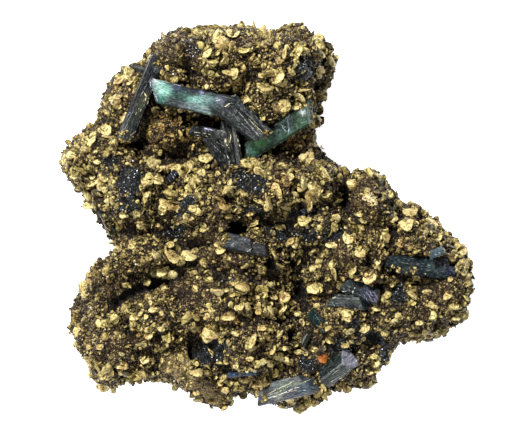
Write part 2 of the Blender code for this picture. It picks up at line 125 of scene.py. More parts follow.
# The studio's floor, a wide disc with a low rim, and its light from all round
FLOOR_RADIUS = 3
FLOOR_RIM = 0.3
WORLD_LIGHT = 0.05
# Soft boxes, all aimed at one place: where each is, its side and its watts
AIM = (0, 0, 0.02)
LAMPS = {
    "key": ((-0.28, 0.43, 0.83), 0.12, 18.2),
    "front": ((-0.20, -0.25, 0.68), 0.18, 3.0),
    "low": ((-0.25, -0.45, 0.40), 0.40, 0.35),
}

# A patch of the main face: plan centre, plan radii and turn anticlockwise, in view pixels
Patch = namedtuple("Patch", "x y across along turn", defaults=(0,))
# A lens crystal: plan centre, long radius, short over long radius as seen, turn of the long axis
Lens = namedtuple("Lens", "x y radius flatness turn", defaults=(0,))


def patch_list(*rows):
    return [Patch(*row) for row in rows]


def lens_list(*rows):
    return [Lens(*row) for row in rows]


# Natural crusts of minute black crystals
BLACK_DRUSE = patch_list(
    (133, 184, 14, 20, 20), (243, 180, 12, 12), (259, 181, 11, 10), (307, 69, 12, 11), (310, 233, 11, 8),
    (255, 210, 10, 5), (190, 201, 6, 6), (209, 355, 15, 10), (389, 352, 9, 12), (399, 296, 9, 11),
    (363, 333, 8, 9), (193, 46, 9, 9), (329, 236, 8, 6), (228, 281, 8, 4), (110, 160, 9, 7),
    (130, 206, 13, 8), (184, 209, 10, 8), (176, 230, 11, 8), (263, 211, 8, 6), (300, 213, 14, 5),
    (280, 232, 16, 8), (338, 233, 7, 6), (309, 364, 10, 9), (340, 341, 8, 6), (214, 345, 16, 9),
    (378, 337, 9, 7), (338, 346, 20, 8), (352, 322, 10, 6),
)
# Brown crust with few lenses
BROWN_CRUST = patch_list(
    (172, 48, 26, 18), (410, 318, 26, 12), (228, 242, 32, 30), (372, 195, 20, 22), (374, 206, 16, 22),
    (200, 290, 26, 16), (440, 295, 22, 20), (120, 290, 26, 12), (120, 345, 24, 16), (318, 340, 18, 12),
    (340, 260, 18, 16),
)
# Smooth tan rock
TAN_ROCK = patch_list((177, 365, 13, 15, -40), (204, 392, 24, 8, -27), (196, 378, 12, 8, -30))
# Warm brown rosettes in the hollow under the teal blade, and elsewhere
WARM_CRUST = patch_list(
    (163, 128, 19, 18), (186, 138, 12, 8), (300, 140, 14, 14), (288, 180, 14, 10), (314, 290, 10, 8),
    (231, 317, 9, 6), (222, 404, 10, 8, -20), (194, 392, 14, 5, -30),
)
# Deep shade between the lumps, where little grows
CREVICES = patch_list(
    (272, 270, 8, 12), (301, 294, 7, 15, 10), (220, 275, 7, 7), (293, 337, 7, 6), (136, 295, 28, 5, 22),
    (180, 155, 9, 4), (236, 228, 9, 7), (345, 196, 4, 20, 6), (318, 157, 18, 5, -20), (196, 345, 8, 8),
    (240, 150, 6, 12), (367, 262, 6, 5), (208, 155, 9, 5), (141, 138, 5, 5),
)
# Narrow clefts, bare inside and painted black there as shade
CLEFTS = patch_list(
    (116, 302, 8, 3.2, 42), (128, 294, 10, 2.8, 30), (141, 287, 9, 3.0, 20), (153, 284, 10, 4.0, 14),
    (301, 290, 3.2, 13, 8), (270, 266, 5, 8), (236, 228, 6, 4.5, 20), (345, 194, 2.6, 15, 6),
    (193, 352, 4, 6), (152, 316, 3, 2.2), (292, 336, 4, 4), (214, 268, 6, 2.6, -10),
)
# A tuft of minute pale crystals
PALE_TUFT = patch_list((368, 197, 6, 4, 20), (373, 201, 5, 5))
# Where small siderite crystals have grown over the vivianite
OVERGROWN = patch_list(
    (125, 137, 8, 7), (405, 269, 15, 4, -8), (264, 397, 4, 5), (232, 168, 9, 4), (252, 160, 6, 3),
    (190, 85, 26, 3, -12), (160, 63, 6, 5), (316, 380, 6, 5), (226, 238, 4, 5), (345, 311, 7, 2),
    (107, 221, 7, 10), (311.5, 114, 2, 11), (222, 239, 5, 7), (322, 327, 6, 6), (308, 311, 3, 3),
    (268, 134, 4, 4), (302, 106, 6, 3, 25),
)

# The lenses that the model's source has too
LENSES = lens_list(
    (219, 40, 6, 0.9), (223, 46, 8, 0.8, 20), (207, 53, 6, 0.6, 50), (204, 31, 5, 0.9), (233, 34, 7, 0.7),
    (240, 27, 5, 0.9), (317, 44, 8, 0.7, -30), (298, 50, 7, 0.7, 60), (320, 54, 5, 0.7, -70),
    (331, 61, 6, 0.6, -70), (318, 96, 7, 0.9), (284, 105, 7, 1.0), (302, 90, 8, 0.35, -5),
    (299, 97, 7, 0.5, -30), (268, 90, 7, 0.45, 8), (237, 89, 5, 0.8, -60), (268, 73, 7, 0.45, 10),
    (280, 78, 7, 0.5, 60), (231, 73, 8, 0.4, -10), (211, 62, 6, 0.45, -5), (245, 50, 6, 0.7, 20),
    (286, 53, 6, 0.35, 80), (307, 159, 8, 0.9), (314, 148, 7, 0.6, -45), (205, 160, 8, 0.6),
    (191, 169, 7, 0.35, 80), (193, 186, 8, 0.4, -68), (201, 183, 7, 0.45, -45), (229, 191, 7, 0.35, 33),
    (224, 208, 7, 0.35, -20), (277, 190, 7, 0.8, -60), (268, 203, 7, 0.5, -75), (293, 196, 6, 0.8),
    (312, 197, 9, 0.75, 60), (302, 183, 8, 0.35, -85), (326, 173, 8, 0.5, -60), (305, 222, 7, 0.7, 10),
    (252, 225, 6, 0.5, 40), (191, 256, 9, 0.6, -15), (221, 250, 6, 0.7, 40), (251, 166, 8, 0.35),
    (261, 173, 7, 0.5, -40), (152, 165, 8, 0.85, -80), (163, 170, 5, 0.9), (176, 169, 6, 0.8),
    (182, 176, 6, 0.5, -60), (157, 180, 7, 0.45, -25), (147, 185, 6, 0.5, 20), (170, 193, 8, 0.4, -20),
    (185, 196, 6, 0.5, -20), (167, 205, 8, 0.6, -40), (177, 207, 5, 0.8), (104, 176, 6, 0.9),
    (93, 182, 6, 0.8, 30), (86, 149, 6, 0.5, 10), (92, 141, 7, 0.4, 50), (107, 132, 6, 0.8, 40),
    (66, 160, 6, 0.8, 90), (73, 155, 6, 0.8), (80, 171, 8, 0.5, -30), (71, 172, 6, 0.6, -60),
    (88, 195, 7, 0.5, -60), (90, 204, 7, 0.7), (130, 75, 8, 0.8, -60), (119, 82, 6, 0.7, 30),
    (171, 256, 9, 0.6, -45), (158, 258, 7, 0.5, -60), (172, 275, 6, 0.9), (162, 272, 6, 0.8),
    (86, 286, 6, 0.8, 80), (135, 317, 5, 0.8), (113, 320, 6, 0.5, 45), (187, 319, 8, 0.7, 60),
    (170, 337, 6, 0.5, 85), (149, 335, 5, 0.8, 30), (141, 345, 6, 0.5), (210, 334, 9, 0.7, -30),
    (92, 361, 6, 0.8), (107, 370, 8, 0.5, 55), (104, 386, 6, 0.8), (136, 376, 8, 0.6, 40),
    (77, 331, 6, 0.7, 80), (217, 289, 7, 0.4, -15), (242, 286, 9, 0.45, -20), (261, 289, 7, 0.7),
    (284, 297, 6, 1.0), (282, 308, 7, 0.6, 50), (270, 311, 6, 0.4, -60), (259, 308, 6, 0.5, -70),
    (229, 317, 8, 0.35, 4), (252, 341, 8, 0.4, 70), (261, 362, 6, 0.6, 20), (275, 373, 5, 0.7, 80),
    (259, 383, 7, 0.5, 10), (197, 374, 7, 0.5, -10), (223, 379, 5, 0.5, 60), (314, 289, 7, 0.8),
    (319, 393, 7, 0.6, 60), (310, 402, 6, 0.7, 30), (299, 408, 6, 0.7), (348, 238, 6, 1.0),
    (360, 254, 6, 0.8), (369, 278, 7, 1.0), (354, 270, 5, 0.5, 60), (411, 213, 8, 0.6, 10),
    (430, 223, 7, 0.6, -30), (407, 225, 8, 0.7, 20), (425, 233, 5, 0.5, 75), (438, 237, 5, 0.5, 60),
    (461, 251, 6, 0.8), (467, 268, 6, 0.7, 80), (457, 268, 5, 0.4, -75), (412, 296, 6, 0.5, -40),
    (433, 308, 5, 0.8), (457, 316, 7, 0.7), (464, 317, 5, 0.8, 60), (336, 218, 5, 0.8),
    (369, 174, 6, 0.5, -70), (377, 178, 6, 0.5, -50), (334, 274, 7, 0.35, -70), (365, 328, 5, 1.0),
    (346, 313, 5, 0.8), (442, 331, 6, 0.8), (371, 382, 5, 0.8),
)
# More of them, too small for the model's source
SMALLER_LENSES = lens_list(
    (213, 23, 4, 0.9), (224, 28, 4, 0.9), (249, 48, 4, 0.8), (270, 33, 4, 0.8, 30), (292, 23, 4, 0.9),
    (320, 70, 5, 0.7, -50), (300, 105, 5, 0.8), (255, 62, 5, 0.5, 15), (290, 72, 5, 0.6, -20),
    (247, 100, 4, 0.7, 40), (211, 73, 4, 0.8), (156, 111, 5, 0.9), (158, 180, 6, 0.8), (146, 194, 4, 0.9),
    (162, 211, 5, 0.8), (92, 176, 4, 0.8), (106, 190, 4, 0.9), (109, 201, 4, 0.8), (170, 246, 5, 0.7, 20),
    (249, 213, 4, 0.8), (253, 222, 5, 0.6, 40), (225, 209, 5, 0.4, -20), (286, 207, 5, 0.8),
    (258, 200, 4, 0.8), (288, 178, 6, 0.7, 30), (281, 166, 4, 0.8), (368, 240, 4, 0.9),
    (349, 249, 4, 0.8), (385, 254, 4, 0.8), (357, 277, 4, 0.8), (377, 262, 4, 0.7), (360, 214, 3.5, 0.9),
    (419, 213, 5, 0.7, 20), (442, 226, 4, 0.8), (462, 262, 4, 0.8), (416, 279, 4, 0.9),
    (347, 318, 5, 0.8), (454, 306, 5, 0.8), (87, 293, 4, 0.8), (100, 347, 4, 0.8), (125, 308, 5, 0.7, 30),
    (134, 324, 4, 0.8), (153, 310, 4, 0.8), (162, 328, 4, 0.9), (162, 350, 5, 0.7, 40),
    (216, 291, 4, 0.4, -10), (229, 291, 5, 0.4, -20), (270, 285, 4, 0.8), (298, 313, 4, 0.8),
    (269, 304, 4, 0.8), (282, 318, 4, 0.8), (236, 333, 4, 0.8), (284, 348, 3, 0.9), (250, 358, 4, 0.8),
    (289, 361, 5, 0.8), (300, 352, 4, 0.8), (314, 349, 4, 0.7), (245, 379, 5, 0.8), (317, 306, 4, 0.8),
    (394, 320, 5, 0.4, 30), (373, 356, 4, 0.8), (369, 372, 4, 0.8), (438, 338, 4, 0.8),
    (412, 333, 4, 0.8), (340, 387, 4, 0.8), (240, 292, 5, 0.5, 10), (255, 297, 5, 0.7),
    (272, 296, 5, 0.6, -30), (228, 174, 5, 0.4, 70), (229, 184, 5, 0.5, 60), (237, 168, 5, 0.5, 30),
    (244, 193, 5, 0.5, -30), (118, 97, 5, 0.7, 20), (109, 112, 5, 0.8), (124, 118, 5, 0.5, 60),
    (113, 145, 5, 0.8), (78, 147, 4, 0.8), (97, 160, 5, 0.7), (84, 184, 4, 0.8), (124, 215, 5, 0.7),
    (142, 226, 5, 0.8), (133, 246, 5, 0.7, 30), (188, 218, 5, 0.6), (205, 228, 5, 0.6, 20),
    (280, 228, 5, 0.7), (290, 242, 5, 0.6, 40), (325, 195, 5, 0.7), (338, 178, 5, 0.6, 30),
    (352, 184, 5, 0.7), (388, 196, 5, 0.7, 20), (392, 218, 5, 0.8), (384, 232, 5, 0.6),
    (400, 245, 4, 0.7), (330, 245, 5, 0.6), (320, 262, 5, 0.7, 30), (378, 308, 5, 0.7),
    (398, 316, 4, 0.8), (420, 322, 5, 0.6, 20), (428, 292, 4, 0.8), (448, 296, 5, 0.7, 40),
    (120, 365, 5, 0.7), (118, 335, 5, 0.6, 40), (145, 360, 5, 0.7), (196, 328, 5, 0.6, 40),
    (215, 312, 5, 0.7), (240, 306, 5, 0.7, 20), (262, 328, 5, 0.7), (272, 350, 5, 0.6, 60),
    (330, 340, 5, 0.7), (345, 345, 4, 0.7), (350, 330, 5, 0.6, 30), (290, 398, 5, 0.7),
)
ORANGE_LENS = Lens(322.5, 359, 5, 0.75, -30)


def srgb(red, green, blue):
    """A colour given as seen on screen, 0 to 255, as the renderer's linear light."""
    shares = [value / 255 for value in (red, green, blue)]
    return tuple(s / 12.92 if s <= 0.04045 else ((s + 0.055) / 1.055) ** 2.4 for s in shares)


# How a vivianite crystal looks: its main colour, how clear and rough it is, how strong its lengthwise
# lines are, its soft spots of colour and where the lines fade out. A spot is a plan centre and radius
# in view pixels, and a colour; the palest white and lilac spots are painted highlights. Colours are as
# seen on screen.
Looks = namedtuple("Looks", "colour clear rough lines spots calm", defaults=((), ()))
CRYSTALS = {
    "vivianite_teal_blade": Looks((44, 50, 54), 0.08, 0.42, 0.8, [
        (159, 87, 6, (160, 190, 182)), (155.5, 80.5, 3, (205, 210, 218)), (164, 92, 6.5, (166, 214, 198)),
        (161, 83, 4, (166, 208, 196)), (162, 99, 4, (92, 145, 135)), (164, 104, 3.5, (46, 76, 64)),
        (170, 89, 4, (132, 178, 166)), (174, 95, 4.5, (60, 98, 86)), (179, 99, 5, (44, 74, 66)),
        (176, 87, 4, (78, 80, 104)), (181, 89.5, 4.5, (54, 68, 82)), (188, 89, 5, (44, 44, 56)),
        (184, 94.5, 4.5, (74, 98, 92)), (188, 97.5, 4, (78, 114, 102)), (193, 101, 4.5, (148, 198, 184)),
        (198, 100.5, 4.5, (156, 200, 190)), (203, 99.5, 4.5, (132, 170, 162)),
        (208, 98.5, 5, (126, 154, 150)), (193, 90, 4.5, (48, 44, 54)), (198.5, 89.5, 3.5, (46, 50, 60)),
        (201.3, 92.5, 1.8, (160, 162, 200)), (206, 91, 3.5, (60, 62, 74)), (171, 101.5, 4, (76, 84, 82)),
        (177, 103.5, 4, (64, 66, 70)), (183, 105.5, 4, (100, 106, 114)), (192, 106, 4.5, (120, 134, 138)),
        (200, 107.5, 4.5, (140, 164, 162)), (205, 111, 4, (140, 158, 156)),
        (209, 114.5, 3, (156, 172, 168)), (213, 101.5, 4.5, (108, 138, 136)),
        (219.5, 100.5, 3.5, (150, 152, 172)), (223, 98.5, 3.5, (112, 114, 128)),
        (216.5, 105, 4, (72, 88, 86)), (226, 110, 6, (42, 46, 54)), (232, 102, 5, (58, 62, 66)),
        (218, 114, 5, (28, 36, 38)), (228, 122, 7, (29, 41, 39)), (238, 124, 7, (31, 43, 41)),
        (247, 128, 6, (38, 42, 46)), (255, 134, 5, (64, 68, 72)), (240, 113, 6, (45, 51, 51)),
        (250, 118, 6, (32, 35, 35)), (258, 124, 6, (30, 33, 33)), (264, 132, 4, (34, 38, 36)),
    ], patch_list((182, 96, 32, 15, -12))),
    "vivianite_green_blade": Looks((60, 86, 70), 0.05, 0.4, 0.3, [
        (249, 150, 4.5, (78, 106, 100)), (259.5, 144, 5.5, (86, 150, 86)), (257, 152, 5, (62, 102, 76)),
        (265, 150, 5, (60, 82, 70)), (267, 141, 5, (66, 108, 76)), (274, 134, 6, (50, 72, 64)),
        (282, 129, 5, (46, 62, 58)), (276, 142, 5, (64, 88, 76)), (281, 124, 3, (68, 88, 82)),
        (289.5, 118, 2.6, (112, 132, 138)), (289.8, 124, 2.6, (100, 118, 122)),
        (290, 130, 2.6, (102, 118, 120)), (295, 117, 4, (74, 104, 74)), (296, 126, 5, (64, 90, 72)),
        (302, 122, 4, (72, 100, 78)), (303, 112, 3.2, (184, 192, 190)), (307.5, 109, 3, (60, 86, 70)),
        (307, 118, 3, (72, 98, 84)), (311, 114, 4, (56, 78, 66)),
    ]),
    "vivianite_dark_cluster": Looks((20, 22, 24), 0, 0.5, 1.0, [
        (208, 128.5, 3.2, (112, 114, 134)), (217, 133, 6, (68, 72, 68)), (223, 133, 3, (94, 96, 92)),
        (218, 147, 5, (46, 46, 50)), (215, 153, 4, (22, 30, 30)), (232, 136, 4, (88, 86, 72)),
        (236, 150, 5, (34, 43, 41)), (232, 160, 5, (27, 35, 32)), (227, 142, 3, (140, 138, 120)),
    ]),
    "vivianite_long_dark_blade": Looks((32, 34, 38), 0, 0.5, 1.0, [
        (141, 104, 5, (72, 74, 60)), (138, 114, 5, (68, 72, 58)), (145, 97, 4, (96, 92, 72)),
        (131, 104, 4, (46, 41, 56)), (127, 114, 4, (58, 55, 70)), (125, 130, 7, (74, 80, 78)),
        (120, 137, 5, (90, 92, 86)), (132, 122, 5, (58, 64, 60)), (157, 65, 5, (34, 44, 48)),
        (160, 70, 4, (70, 72, 70)),
    ]),
    "vivianite_rim_blade": Looks((32, 34, 40), 0, 0.4, 0.5, [(139, 67, 4, (84, 84, 80))]),
    "vivianite_right_blade": Looks((22, 34, 40), 0, 0.45, 0.6, [
        (397, 262, 6, (34, 50, 52)), (411, 262, 6, (26, 38, 48)), (426, 264, 6, (36, 52, 60)),
        (440, 268, 6, (54, 64, 68)), (430, 270, 5, (50, 64, 60)), (439, 261, 5, (34, 32, 42)),
        (452, 271, 4, (36, 38, 70)), (446, 262, 4, (42, 37, 48)), (405, 268, 6, (44, 56, 50)),
    ]),
    "vivianite_right_block": Looks((80, 93, 100), 0, 0.4, 0.5),
    "vivianite_centre_blade": Looks((24, 28, 31), 0, 0.85, 0.4, [
        (232, 241, 6, (32, 42, 47)), (240, 243, 5, (26, 34, 35)), (252, 246, 7, (20, 18, 23)),
        (262, 249, 5, (15, 13, 17)),
    ]),
    "vivianite_lower_right_pair": Looks((30, 42, 41), 0, 0.45, 0.7, [
        (345, 301, 6, (34, 45, 39)), (352, 300, 5, (30, 43, 37)), (358, 302, 4, (46, 60, 54)),
        (341, 307, 4, (60, 62, 76)), (349, 305, 4, (52, 58, 62)), (352, 284, 5, (38, 56, 55)),
        (359, 287, 4, (22, 31, 31)), (366, 292, 5, (58, 60, 80)), (372, 296, 6, (54, 56, 76)),
        (377, 298, 3, (68, 62, 84)), (352, 291, 3, (17, 24, 24)),
    ]),
    "vivianite_lower_prism": Looks((26, 36, 36), 0, 0.45, 0.5, [
        (334, 379, 5, (66, 76, 74)), (342, 373, 5, (72, 84, 80)), (350, 367, 5, (92, 100, 96)),
        (334, 366, 6, (32, 44, 40)), (340, 357, 5, (28, 41, 38)), (343, 351, 4, (30, 42, 40)),
    ]),
    "vivianite_silver_blade": Looks((72, 78, 81), 0, 0.45, 1.0, [
        (258, 402, 5, (34, 37, 42)), (262, 396, 3.5, (112, 115, 126)), (266, 391, 4, (38, 42, 48)),
        (275, 382, 5, (96, 102, 102)), (286, 378, 6, (80, 88, 92)), (283, 388, 6, (106, 118, 104)),
        (296, 385, 5, (114, 122, 106)), (303, 390, 6, (74, 88, 102)), (311, 385, 5, (80, 94, 104)),
        (292, 394, 5, (80, 74, 92)), (278, 396, 4, (140, 140, 130)),
    ]),
    "vivianite_blue_sliver": Looks((66, 84, 104), 0, 0.35, 0.6),
    "vivianite_low_stub": Looks((24, 44, 46), 0, 0.4, 0.4),
    "vivianite_left_stub": Looks((54, 58, 66), 0, 0.4, 1.0),
    "vivianite_upper_stub": Looks((28, 33, 40), 0, 0.35, 0.4),
    "vivianite_waist_stub": Looks((40, 52, 52), 0, 0.5, 0.5),
    "vivianite_olive_stub": Looks((44, 48, 36), 0, 0.4, 0.8),
}

# Crystals that end in a slanted face on their right: the end's view pixel and its colour
SLANTED_ENDS = {"vivianite_lower_prism": (353.5, 355.5, srgb(130, 129, 141))}
# How much such a face looks up: the rise of its normal against the run
END_STEEPNESS = 0.72
# Slot names of the clear crystals, handed to each new piece; the others share one
SLOTS = {"vivianite_teal_blade": "vivianite_teal", "vivianite_green_blade": "vivianite_green"}

CREAM = srgb(216, 210, 168)
PALE = srgb(150, 152, 146)
LILAC = srgb(186, 184, 208)
ICE = srgb(176, 202, 206)
WHITE = srgb(236, 238, 236)
# Thin lines where a broken edge or a crust on a crystal catches the light, partly their own pale colour
# and partly painted highlights: the colour, the width and the view pixels that each one passes
STREAKS = [
    (LILAC, 1.4, [(149.8, 80.3), (150.8, 86), (153, 92), (155.5, 96), (158, 101.6)]),
    (WHITE, 1.6, [(153.5, 78.8), (156.5, 82)]),
    (CREAM, 1.1, [(192.6, 111.6), (199.8, 114.3), (206, 117), (208.4, 117.8)]),
    (LILAC, 1.2, [(199, 91.6), (204, 93)]), (LILAC, 1, [(173, 84), (181, 86)]),
    (PALE, 1, [(180, 106), (190, 108)]), (PALE, 0.9, [(163, 81), (170, 83)]),
    (WHITE, 1.2, [(216, 100.5), (222, 100)]), (CREAM, 1.8, [(224.5, 107), (229, 104), (232, 103)]),
    (PALE, 1.5, [(235.8, 109.2), (242.9, 116.8), (247.9, 123.5), (254.1, 130.2), (260.5, 138)]),
    (CREAM, 0.8, [(250.1, 120.8), (256, 127.6), (261.7, 134.2)]),
    (CREAM, 0.8, [(248.8, 118.6), (257, 127), (265.7, 135.1)]),
    (PALE, 0.8, [(251, 111), (256.8, 117.7), (263, 124)]),
    (PALE, 0.8, [(240, 108), (250, 117.5), (258, 125)]),
    (PALE, 0.8, [(219.7, 114.6), (222.9, 123.9), (224.2, 130.2), (227.3, 134.6)]),
    (PALE, 0.8, [(207.7, 116.8), (209.9, 122), (216.2, 126.2), (223.8, 129.3)]),
    (PALE, 0.7, [(230, 112), (240, 122), (250, 131)]),
    (LILAC, 1.8, [(204, 128.2), (209.5, 129.4), (213.5, 130.2)]),
    (PALE, 1.4, [(213.5, 130.4), (222.9, 130.9), (225.6, 134.3)]),
    (CREAM, 1.1, [(193.6, 132), (200.5, 132.9)]), (CREAM, 0.9, [(196.5, 135.2), (199.5, 135.6)]),
    (CREAM, 1, [(203, 133.2), (210.8, 134.7)]), (CREAM, 0.8, [(205.4, 136.1), (209, 136.8)]),
    (CREAM, 2, [(225.1, 137.9), (226.4, 144.1), (229.6, 148.6)]),
    (CREAM, 1.3, [(229.6, 131.6), (230.9, 137), (229.8, 142.8)]),
    (CREAM, 1.4, [(236.3, 135.2), (238, 141.4), (239.8, 146.3), (242, 149)]),
    (CREAM, 0.9, [(242.5, 152), (242.5, 160)]),
    (PALE, 1, [(210.4, 142.8), (218.4, 150.4), (225.1, 155.7), (225.1, 162)]),
    (WHITE, 1.1, [(226.9, 154.4), (229.1, 160.2), (229.6, 168)]),
    (PALE, 0.8, [(213.5, 140.1), (224.6, 146.8)]),
    (ICE, 1.6, [(289, 114.8), (287.6, 121), (289, 128.6), (288.3, 133.5)]),
    (ICE, 0.9, [(281.3, 124.5), (283.4, 128.6), (286.9, 132.7)]),
    (ICE, 0.8, [(268.6, 129.4), (274, 126), (280.8, 122.3), (285.9, 118.3), (291, 114.4)]),
    (ICE, 0.7, [(291.5, 114.8), (292, 123), (292, 131.2)]), (WHITE, 1.2, [(301, 109), (303, 117)]),
    (ICE, 0.7, [(279.5, 125), (288, 117.5)]), (ICE, 0.6, [(254, 158.8), (263, 153), (276, 145.4)]),
    (CREAM, 1.6, [(143.8, 92.4), (146.5, 96.5), (145, 101.3), (143.8, 105.4)]),
    (CREAM, 1, [(148.6, 98), (147.4, 104.2)]), (CREAM, 1, [(139.7, 106.6), (135.5, 114.9)]),
    (CREAM, 0.9, [(141.4, 108.4), (139.7, 113.7)]), (PALE, 0.8, [(137.9, 101.3), (135.5, 106)]),
    (LILAC, 0.9, [(130.2, 111.9), (126.6, 117.3)]), (PALE, 0.9, [(136.7, 130.3), (131.9, 134.5)]),
    (PALE, 0.7, [(152, 76), (146, 86), (140, 97)]), (PALE, 0.7, [(134, 110), (126, 124)]),
    (PALE, 0.8, [(129.5, 120), (122, 134)]), (CREAM, 1.2, [(119, 132), (121, 138)]),
    (WHITE, 1.2, [(352.4, 293.3), (354.1, 289), (356.7, 285.3)]),
    (CREAM, 1.5, [(330.4, 298.5), (333.5, 298.1), (339.3, 295.1)]),
    (WHITE, 1.3, [(336.9, 293.6), (342.8, 291.4), (346.3, 291.2)]),
    (ICE, 1, [(332.4, 302.9), (334.6, 305.9)]),
    (LILAC, 0.8, [(366.2, 291.5), (369.6, 296.8), (373, 302)]),
    (LILAC, 0.9, [(369.2, 290.6), (372.6, 296), (376, 301)]),
    (LILAC, 0.7, [(372, 289.5), (375.2, 294.4), (378, 299)]),
    (LILAC, 0.7, [(363.6, 294.5), (366.4, 299), (369.2, 303)]),
    (PALE, 1, [(325.2, 375.9), (335.7, 368.2), (345.5, 360.8)]), (WHITE, 1.1, [(355.5, 362), (359, 358)]),
    (PALE, 0.8, [(332.2, 374.5), (339.2, 369.5)]),
    (PALE, 0.8, [(329.4, 382.5), (344.8, 373.8), (353.2, 366)]),
    (WHITE, 0.9, [(339, 379.6), (342, 377.6)]), (PALE, 0.8, [(346, 360.5), (347.2, 350.5)]),
    (CREAM, 1.1, [(268.3, 394.1), (278.2, 388.5), (288.7, 384.3), (294.3, 380.1)]),
    (WHITE, 1.2, [(266.4, 398.4), (276.1, 396.2), (284.5, 392.7), (292.9, 388.5), (299.9, 387.1)]),
    (CREAM, 0.9, [(269, 394.8), (274.6, 393.4), (283.1, 389.9), (290.1, 385.6)]),
    (PALE, 0.9, [(279.6, 384.3), (285.9, 380.8), (291.5, 378)]),
    (CREAM, 0.9, [(283.1, 394.1), (290.1, 391.3), (297.1, 389.9)]),
    (CREAM, 1.1, [(303.4, 382.2), (311.1, 379.2)]), (ICE, 1.6, [(303, 390.4), (306, 390)]),
    (LILAC, 1.2, [(261.4, 394.3), (263.2, 397.6), (266.6, 399.6)]),
    (PALE, 0.8, [(272, 386), (282, 380.5), (292, 377)]), (ICE, 0.8, [(426.4, 264.5), (430.4, 265.5)]),
    (PALE, 0.7, [(449.8, 268), (451.4, 265.5)]), (ICE, 1, [(435, 255.4), (440.4, 252.2)]),
    (PALE, 0.7, [(400, 262.5), (420, 265)]), (PALE, 0.7, [(424, 270), (444, 271.5)]),
    (CREAM, 1, [(424, 273.9), (428, 274.3)]), (LILAC, 1, [(231, 245.6), (235.2, 242)]),
    (WHITE, 1.1, [(247.1, 252), (251.3, 248.5)]), (WHITE, 1.3, [(226.8, 236), (227.6, 234.4)]),
    (LILAC, 1.2, [(244.3, 240), (245.3, 239)]),
    (CREAM, 1, [(251.7, 243.4), (257.3, 242.6), (260.8, 243.6)]), (ICE, 1, [(236, 372.5), (248, 373.5)]),
    (LILAC, 0.9, [(171, 173), (174, 179)]), (LILAC, 0.9, [(173.5, 172), (176.5, 178)]),
    (PALE, 0.8, [(315, 315), (321, 322)]),
]


def view_scale(height):
    return PIXEL * (EYE_HEIGHT - height) / (EYE_HEIGHT - REFERENCE_HEIGHT)


def view_point(x, y, height):
    """The real place seen at pixel x, y of the reference view, at a height over the resting face."""
    scale = view_scale(height)
    return Vector((
        VIEW_MIDDLE[0] + (x - VIEW_MIDDLE_PX[0]) * scale,
        VIEW_MIDDLE[1] + (VIEW_MIDDLE_PX[1] - y) * scale,
        height,
    ))


def view_pixels(points):
    """The pixels of the reference view where an array of points is seen."""
    scale = view_scale(points[:, 2])
    x = VIEW_MIDDLE_PX[0] + (points[:, 0] - VIEW_MIDDLE[0]) / scale
    y = VIEW_MIDDLE_PX[1] - (points[:, 1] - VIEW_MIDDLE[1]) / scale
    return x, y


def inside(patches, points, soft=0.4):
    """How far each point is inside any of the patches, from 0 to 1, with ragged edges."""
    x, y = view_pixels(points)
    ragged = field(points, 1.6 * MM, 0)
    share = np.zeros(len(points))
    for patch in patches:
        turn = math.radians(patch.turn)
        across, along = x - patch.x, y - patch.y
        u = (across * math.cos(turn) - along * math.sin(turn)) / patch.across
        v = (across * math.sin(turn) + along * math.cos(turn)) / patch.along
        share = np.maximum(share, np.clip((1.2 - np.hypot(u, v) + 0.45 * ragged) / soft, 0, 1))
    return share


def new_piece(name, mesh, slot, *replaced):
    """A visible piece, standing for the replaced nodes if any are named."""
    obj = bpy.data.objects.new(name, mesh)
    bpy.context.scene.collection.objects.link(obj)
    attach(obj, "root")
    if replaced:
        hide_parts(*replaced)
    return obj


def mesh_of(bm, name):
    """A bmesh as a new mesh. It is freed."""
    mesh = bpy.data.meshes.new(name)
    bm.to_mesh(mesh)
    bm.free()
    return mesh


def arrays_of(bm):
    """Points and triangles of a bmesh, which is freed."""
    bmesh.ops.triangulate(bm, faces=bm.faces)
    bm.verts.index_update()
    points = np.array([v.co for v in bm.verts])
    faces = np.array([[v.index for v in f.verts] for f in bm.faces])
    bm.free()
    return points, faces


def set_values(mesh, name, values, domain="POINT"):
    mesh.attributes.new(name, "FLOAT", domain).data.foreach_set("value", values.astype(np.float32))


def vertex_array(mesh):
    flat = np.empty(len(mesh.vertices) * 3)
    mesh.vertices.foreach_get("co", flat)
    return flat.reshape(-1, 3)


def normal_array(mesh):
    flat = np.empty(len(mesh.vertices) * 3)
    mesh.vertex_normals.foreach_get("vector", flat)
    return flat.reshape(-1, 3)


def field(points, size, seed):
    """Smooth noise of a feature size, from -1 to 1, at each point."""
    offset = Vector((seed * 1.7, seed * 2.3, seed * 3.1))
    return np.array([noise.noise(Vector(p) / size + offset) for p in points])


def crowd(name, shapes, placings, material, smooth):
    """Many small copies of a few shapes joined in one piece. Each placing is a shape's number, its
    axes and centre, and its values for the material."""
    points, faces, values = [], [], []
    start = 0
    for number, axes, centre, marks in placings:
        shape, triangles, stain = shapes[number]
        placed = shape @ axes.T + centre
        placed[:, 2] = np.maximum(placed[:, 2], 0)
        points.append(placed)
        faces.append(triangles + start)
        block = np.tile(np.array(marks, float), (len(shape), 1))
        # Each shape's own offsets: its stain and, on the lenses, the painted shade at the rim
        block[:, 0] += stain
        values.append(block)
        start += len(shape)
    mesh = bpy.data.meshes.new(name)
    mesh.from_pydata(np.concatenate(points), [], np.concatenate(faces))
    values = np.concatenate(values)
    for column, mark in enumerate(("tone", "dark", "warm")):
        set_values(mesh, mark, values[:, column])
    mesh.polygons.foreach_set("use_smooth", np.full(len(mesh.polygons), smooth))
    mesh.materials.append(material)
    return new_piece(name, mesh, "siderite_matrix")


